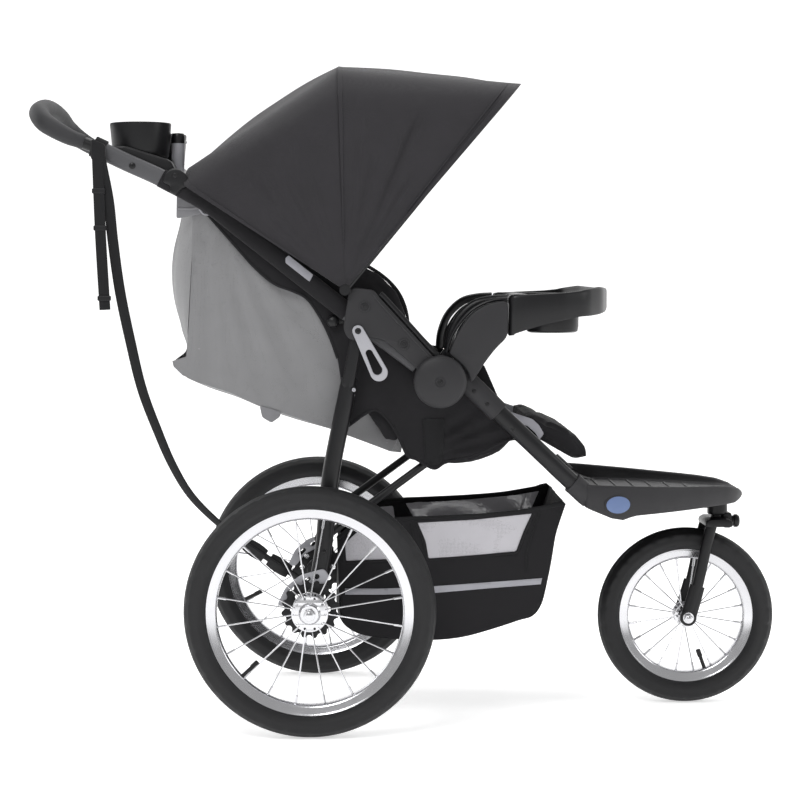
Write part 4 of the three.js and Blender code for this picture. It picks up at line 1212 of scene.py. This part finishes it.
def side_cloth():
    for tag, s in SIDES:
        cloth = make("side_cloth" + tag, flat_cloth(SIDE_STRIP, 8, lambda x, z: s * side_cloth_y(x, z)),
                     "seat_fabric", thick=1.6, sharp=80)
        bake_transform(cloth)
        edge = [(x, s * (side_cloth_y(x, z) + 0.6), z) for x, z in SIDE_STRIP[1:10]]
        binding = make("side_binding" + tag, pipe(edge, 1.6, 2.6, 60, 10), "seat_fabric")
        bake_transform(binding)
        edge = [(x, s * (side_cloth_y(x, z) + 0.6), z) for x, z in SIDE_STRIP[12:26]]
        lower = make("side_piping" + tag, pipe(edge, 1.5, 2.2, 60, 10), "seat_fabric")
        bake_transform(lower)
        declare_sheet(cloth, 655, 215)
        tape = [(180, 500), (216, 500), (214, 440), (210, 426), (190, 424), (184, 440)]
        lap = flat_cloth(rounded(tape, 3), 8, lambda x, z: s * (side_cloth_y(x, z) + 1.4))
        make("side_tape" + tag, lap, "webbing", "lower_frame", thick=1.4, sharp=80)
        front = [(262, 560), (270, 588), (281, 586), (304, 533), (322, 508), (338, 492), (318, 490),
                 (290, 512)]
        make("seat_flap" + tag, plate(rounded(front, 5), s * 166, s * 171, bevel=2), "seat_fabric",
             "lower_frame")
        flag = rounded([(66, 545), (72, 539), (67, 532)], 1)
        make("side_flag" + tag, plate(flag, s * 204.6, s * 205.4, bevel=0.3), "seat_fabric",
             "upper_frame", material=REFLECTIVE)

side_cloth()

# ---- padded seat

def soft_copy(name, node, voxel, shrink):
    """A fine even skin over a copy of a CAD solid, a little smaller than it."""
    piece = bpy.data.objects.new(name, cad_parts[node].data.copy())
    bpy.context.scene.collection.objects.link(piece)
    skin = piece.modifiers.new("skin", "REMESH")
    skin.mode = "VOXEL"
    skin.voxel_size = voxel * MM
    mesh = bpy.data.meshes.new_from_object(piece.evaluated_get(bpy.context.evaluated_depsgraph_get()))
    piece.modifiers.clear()
    piece.data = mesh
    normals = [v.normal.copy() for v in mesh.vertices]
    for vertex, normal in zip(mesh.vertices, normals):
        vertex.co -= normal * (shrink * MM)
    mesh.shade_smooth()
    return piece

def swell(caps):
    """Inflates the pieces as cloth under pressure, all together, capping how far each point moves."""
    scene = bpy.context.scene
    before = {}
    for piece in caps:
        before[piece] = np.array([v.co for v in piece.data.vertices])
        cloth = piece.modifiers.new("cloth", "CLOTH")
        cloth.settings.use_pressure = True
        cloth.settings.uniform_pressure_force = 4
        cloth.settings.effector_weights.gravity = 0
        cloth.settings.quality = 5
    for step in range(1, 21):
        scene.frame_set(step)
    graph = bpy.context.evaluated_depsgraph_get()
    for piece, cap in caps.items():
        swollen = piece.evaluated_get(graph).to_mesh()
        after = np.array([v.co for v in swollen.vertices])
        piece.evaluated_get(graph).to_mesh_clear()
        move = after - before[piece]
        length = np.maximum(np.linalg.norm(move, axis=1), 1e-9)
        move *= np.minimum(1, cap * MM / length)[:, None]
        piece.modifiers.clear()
        piece.data.vertices.foreach_set("co", (before[piece] + move).ravel())
        piece.data.update()
    scene.frame_set(1)

def sewn(piece, seams, slot, body, node):
    """Sinks the sewn channels that seams(x, y, z) gives in mm into the pad, and finishes the piece."""
    normals = [v.normal.copy() for v in piece.data.vertices]
    for vertex, normal in zip(piece.data.vertices, normals):
        x, y, z = (vertex.co.x - AXLE_X) / MM, vertex.co.y / MM, vertex.co.z / MM
        vertex.co -= normal * (seams(x, y, z, normal) * MM)
    piece.data.materials.clear()
    piece.data.materials.append(FINISH[slot])
    piece.data.update()
    finer = piece.modifiers.new("finer", "SUBSURF")
    finer.levels = finer.render_levels = 1
    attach(piece, body)
    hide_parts(node)

def back_place(x, z):
    """Distance up the seat back from its hinge, and out from the hinge line towards the child."""
    u, v = x - SEAT_HINGE[0], z - SEAT_HINGE[1]
    c, s = math.cos(BACK_ANGLE), math.sin(BACK_ANGLE)
    return u * c + v * s, u * s - v * c

def on_back(up, y, out):
    c, s = math.cos(BACK_ANGLE), math.sin(BACK_ANGLE)
    return Vector((SEAT_HINGE[0] + up * c + out * s, y, SEAT_HINGE[1] + up * s - out * c))

def back_seams(x, y, z, normal):
    up, out = back_place(x, z)
    facing = normal.x * math.sin(BACK_ANGLE) - normal.z * math.cos(BACK_ANGLE)
    if facing > 0.3:
        lines = bell(abs(y) - 96, 3.2) + (bell((up + 25) % 62 - 31, 3) if abs(y) < 96 else 0)
        return 3.6 * min(lines, 1) - 2.4 * bell(abs(y) - 128, 22)
    return 0.36 * bell(up - 250, 60)

def base_seams(x, y, z, normal):
    if normal.z > 0.4:
        return 3.2 * min(bell(abs(y) - 96, 3.2) + (bell(x - 235, 3) + bell(x - 290, 3)) * (abs(y) < 96), 1)
    if normal.z < -0.2:
        return -5 * (1 - (y / 160) ** 2) + 2.2 * bell((y + 400) % 80 - 40, 6)
    return 0.0

def leg_seams(x, y, z, normal):
    along = (x - 344) * 0.84 - (z - 500) * 0.54
    if normal.z > 0.25:
        return 2.8 * min(bell(along - 42, 3) + bell(along - 84, 3) + bell(abs(y) - 92, 3), 1)
    return 0.8 * bell(abs(y) % 60 - 30, 5)

def wing_seams(x, y, z, normal):
    rim = [(143, 463), (150, 500), (155, 560), (157, 620), (156, 668), (142, 704), (112, 734), (66, 757),
           (0, 768), (-60, 758)]
    gap = min(segment_gap((x, z), a, b) for a, b in zip(rim, rim[1:]))
    return 2.6 * bell(gap - 17, 3.2) + 0.8 * noise.noise(Vector((x, y, z)) * 0.03)

def segment_gap(p, a, b):
    p, a, b = Vector(p), Vector(a), Vector(b)
    run = b - a
    share = min(max((p - a).dot(run) / run.length_squared, 0), 1)
    return (p - a - run * share).length

back_pad = soft_copy("back_pad", "seat_back", 6, 3.5)
base_pad = soft_copy("base_pad", "seat_base", 6, 3.5)
leg_pad = soft_copy("leg_pad", "leg_rest", 5, 3)
wing_pads = soft_copy("wing_pads", "seat_wings", 5, 0)
for point in leg_pad.data.vertices:
    point.co.x -= 0.33 * max(point.co.x - at(428, 0, 0).x, 0)
swell({back_pad: 8, base_pad: 6, leg_pad: 6, wing_pads: 2.5})
sewn(back_pad, back_seams, "seat_fabric", "seat_back", "seat_back")
sewn(base_pad, base_seams, "seat_fabric", "lower_frame", "seat_base")
sewn(leg_pad, leg_seams, "seat_fabric", "lower_frame", "leg_rest")
sewn(wing_pads, wing_seams, "seat_fabric", "seat_hinge", "seat_wings")
make("hinge_rod", cross_bar(5, SEAT_HINGE, 160), "black_steel", "seat_hinge")

for tag, s in SIDES:
    rim = [(150, 500), (155, 560), (157.5, 620), (156, 668), (142, 704), (112, 734), (66, 757), (0, 768),
           (-60, 758)]
    make("wing_piping" + tag, pipe(lifted(rim, s * 174), 2.6, steps=70, sides=10),
         "seat_fabric", "seat_hinge")
    band = [(325, 508), (361, 496), (372, 486), (380, 472), (373, 462), (366, 473), (353, 485), (340, 488),
            (330, 498)]
    make("leg_band" + tag, plate(rounded(band, 3), s * 149.5, s * 151.6, bevel=0.7), "seat_fabric",
         "lower_frame", material=REFLECTIVE)

# ---- harness and buckle

def ribbon(route, width, thickness, normals):
    """A flat strap along a route, lying on a surface with the given outward directions."""
    rings = []
    for i, point in enumerate(route):
        along = heading(route, i)
        out = normals[min(i, len(normals) - 1)]
        out = (out - along * out.dot(along)).normalized()
        side = along.cross(out)
        half = thickness / 2
        rings.append([point + side * (a * width / 2) + out * (b * half)
                      for a, b in ((-1, -1), (1, -1), (1, 1), (-1, 1))])
    return loft(rings)

BACK_OUT = Vector((math.sin(BACK_ANGLE), 0, -math.cos(BACK_ANGLE)))
for tag, s in SIDES:
    line = ((430, 52, 36), (418, 52, 42), (330, 50, 42.5), (240, 48, 42.5), (150, 46, 42.5), (96, 45, 38))
    route = curve_through([on_back(up, s * y, out) for up, y, out in line], 60)
    make("shoulder_strap" + tag, ribbon(route, 25, 1.8, [BACK_OUT]), "webbing", "seat_back", bevel=0.5)
    pad = curve_through([on_back(up, s * y, out) for up, y, out in
                         ((400, 52, 44.5), (330, 50, 45.2), (258, 48.4, 44.5))], 40)
    rings = []
    for i, p in enumerate(pad):
        fill = ease(min(i, 40 - i) / 5)
        half_width, half_depth = 22 * (0.86 + 0.14 * fill), 1.2 + 4.4 * fill
        rings.append([p + Vector((0, a, 0)) + BACK_OUT * b for a, b in ellipse(half_width, half_depth, 24)])
    cover = make("shoulder_pad" + tag, loft(rings), "seat_fabric", "seat_back")
    lap = curve_through([(206, s * 157, 516), (214, s * 120, 520), (228, s * 70, 524), (243, s * 36, 548),
                         (247, s * 25, 552)], 40)
    lift = [Vector((0.2, 0, 1))] * 24 + [Vector((1, 0, 0.5))] * 20
    make("lap_strap" + tag, ribbon(lap, 22, 1.8, lift), "webbing", "lower_frame", bevel=0.5)

def facing_forward(geometry):
    """A plate drawn in the side view, turned to lie across the stroller and face along it."""
    verts, faces = geometry
    return [Vector((v.y, v.x, v.z)) for v in verts], faces

buckle = rounded([(-24, 545), (-18, 537), (18, 537), (24, 545), (24, 563), (17, 571), (-17, 571),
                  (-24, 563)], 5)
make("buckle_shell", facing_forward(plate(buckle, 240, 256.5, [circle((0, 554), 8.4, 32)], 2.5)),
     "black_plastic", "lower_frame", ["harness_buckle"])
make("buckle_floor", facing_forward(plate(circle((0, 554), 8.6, 32), 241, 250, bevel=0.4)), "black_plastic",
     "lower_frame")
press = [(0, 250.5), (7.2, 250.5), (7.6, 251.4), (7.6, 256.6), (6.8, 257.8), (4, 258.2), (0, 258.4)]
make("buckle_press_pad", lathe(press, (0, 554), 0, 40, "X"), "silver_plastic", "buckle_button",
     ["buckle_button"])
crotch = curve_through([(262, 0, 512), (259, 0, 520), (251, 0, 532), (248, 0, 545)], 24)
make("crotch_strap", ribbon([Vector(p) for p in crotch], 28, 2.2, [Vector((1, 0, 0.3))]), "webbing",
     "lower_frame", bevel=0.5)

# ---- basket

BASKET = [(42, 300), (45, 230), (50, 166), (66, 150), (92, 141), (150, 135), (203, 134), (247, 139),
          (296, 152),
          (339, 166), (361, 173), (373, 188), (385, 236), (399, 307), (415, 357), (409, 362), (399, 360),
          (388, 356), (377, 352), (362, 349), (330, 344), (269, 338), (205, 335), (150, 333), (105, 328),
          (68, 319)]
REAR_WINDOW = [(52, 294), (72, 313), (104, 321), (138, 324), (148, 266), (54, 262)]
WINDOWS = {"_R": ([(170, 329), (266, 334), (364, 344), (348, 310), (336, 277), (262, 271), (189, 266),
                   (184, 296)],
                 REAR_WINDOW),
           "_L": ([(156, 328), (266, 334), (352, 342), (399, 350), (386, 320), (366, 282), (262, 271),
                   (189, 266)],
                 REAR_WINDOW)}

def basket_y(x, z):
    """The basket's side wall bellies between its corners and is drawn in along its seams."""
    across = math.sin(math.pi * min(max((x - 42) / 370, 0), 1))
    up = math.sin(math.pi * min(max((z - 137) / 240, 0), 1))
    slack = 3 * noise.noise(Vector((x * 0.014, 7, z * 0.014)))
    return BASKET_HALF - 6 + 5.5 * across * up - max(slack, 0)

def basket():
    for tag, s in SIDES:
        place = lambda x, z: s * basket_y(x, z)
        holes = [rounded(w, 5) for w in WINDOWS[tag]]
        wall = make("basket_wall" + tag, flat_cloth(BASKET, 9, place, holes), "seat_fabric", "lower_frame",
                    thick=1.8, sharp=80)
        for index, hole in enumerate(holes):
            window = make(f"basket_window{tag}{index}", flat_cloth(hole, 9, place), "seat_fabric",
                          "lower_frame", sharp=80, material=WINDOW_MESH)
            declare_sheet(window, 100 if index else 230, 64 if index else 84)
            loop = [Vector((x, place(x, z) + s * 0.8, z)) for x, z in (*hole, hole[0])]
            make(f"basket_trim{tag}{index}", sweep(loop, ellipse(1.4, 2.4, 8)), "seat_fabric",
                              "lower_frame")
        stripe = [(54, 219), (120, 219), (203, 223), (290, 229), (377, 235), (375, 225), (290, 219),
                  (205, 212), (120, 209), (54, 209)]
        make("basket_stripe" + tag, flat_cloth(stripe, 10, lambda x, z: place(x, z) + s * 1.4),
                          "seat_fabric", "lower_frame", material=REFLECTIVE, thick=0.8, sharp=80)
        for index, route in enumerate(([(373, 342), (360, 305), (352, 275), (351, 246)],
                                       [(162, 328), (170, 290), (176, 240), (190, 190), (200, 140)])):
            line = curve_through([(x, 0, z) for x, z in route], 30)
            line = [Vector((p.x, place(p.x, p.z) + s * 1.3, p.z)) for p in line]
            section = strap_section(3.4, 1.6)
            make(f"basket_tape{tag}{index}", sweep(line, section), "webbing", "lower_frame")
        rim_line = [(42, 301), (68, 320), (105, 329), (150, 333), (205, 335), (269, 338), (330, 343),
                    (362, 348), (412, 357)]
        rim_line = curve_through([(x, 0, z) for x, z in rim_line], 60)
        rim_line = [Vector((p.x, place(p.x, p.z), p.z)) for p in rim_line]
        make("basket_rim" + tag, sweep(rim_line, ellipse(2.4, 3.6, 12)), "webbing",
                          "lower_frame")
        declare_sheet(wall, 268, 380)
    under = curve_through([(x, 0, z) for x, z in BASKET[:15]], 96)
    rows = []
    for i, p in enumerate(under):
        along = under[min(i + 1, 96)] - under[max(i - 1, 0)]
        out = Vector((-along.z, 0, along.x)).normalized()
        if out.dot(p - Vector((230, 0, 270))) < 0:
            out.negate()
        row = []
        for j in range(49):
            y = -1 + 2 * j / 48
            sag = ease(i / 12) * ease((96 - i) / 12)
            slump = 7 * sag * (1 - y ** 4) + 2.5 * noise.noise(Vector((y * 3, i * 0.07, 5))) * (1 - y ** 4)
            row.append(p + out * slump + Vector((0, y * basket_y(p.x, p.z), 0)))
        rows.append(row)
    floor = make("basket_floor", grid(rows), "seat_fabric", "lower_frame", ["basket"], thick=1.8, sharp=80)
    declare_sheet(floor, longest([[row[24] for row in rows]]) * 1.002, longest(rows) * 1.002)

basket()

# ---- what is left of the frame nodes

def refinish(node, slot):
    """A frame node that stays as it is, with the detailed finish of its slot."""
    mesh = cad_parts[node].data
    if not mesh.materials:
        mesh.materials.append(FINISH[slot])
    for index in range(len(mesh.materials)):
        mesh.materials[index] = FINISH[slot]

refinish("canopy_middle_bow", "black_plastic")
refinish("canopy_front_bow", "black_plastic")

bpy.context.view_layer.update()
shown = [o for o in bpy.context.scene.objects if o.type == "MESH" and not o.hide_render and o.name != "floor"]
low, high = Vector((9, 9, 9)), Vector((-9, -9, -9))
for piece in shown:
    for corner in piece.bound_box:
        spot = piece.matrix_world @ Vector(corner)
        low, high = Vector(map(min, low, spot)), Vector(map(max, high, spot))
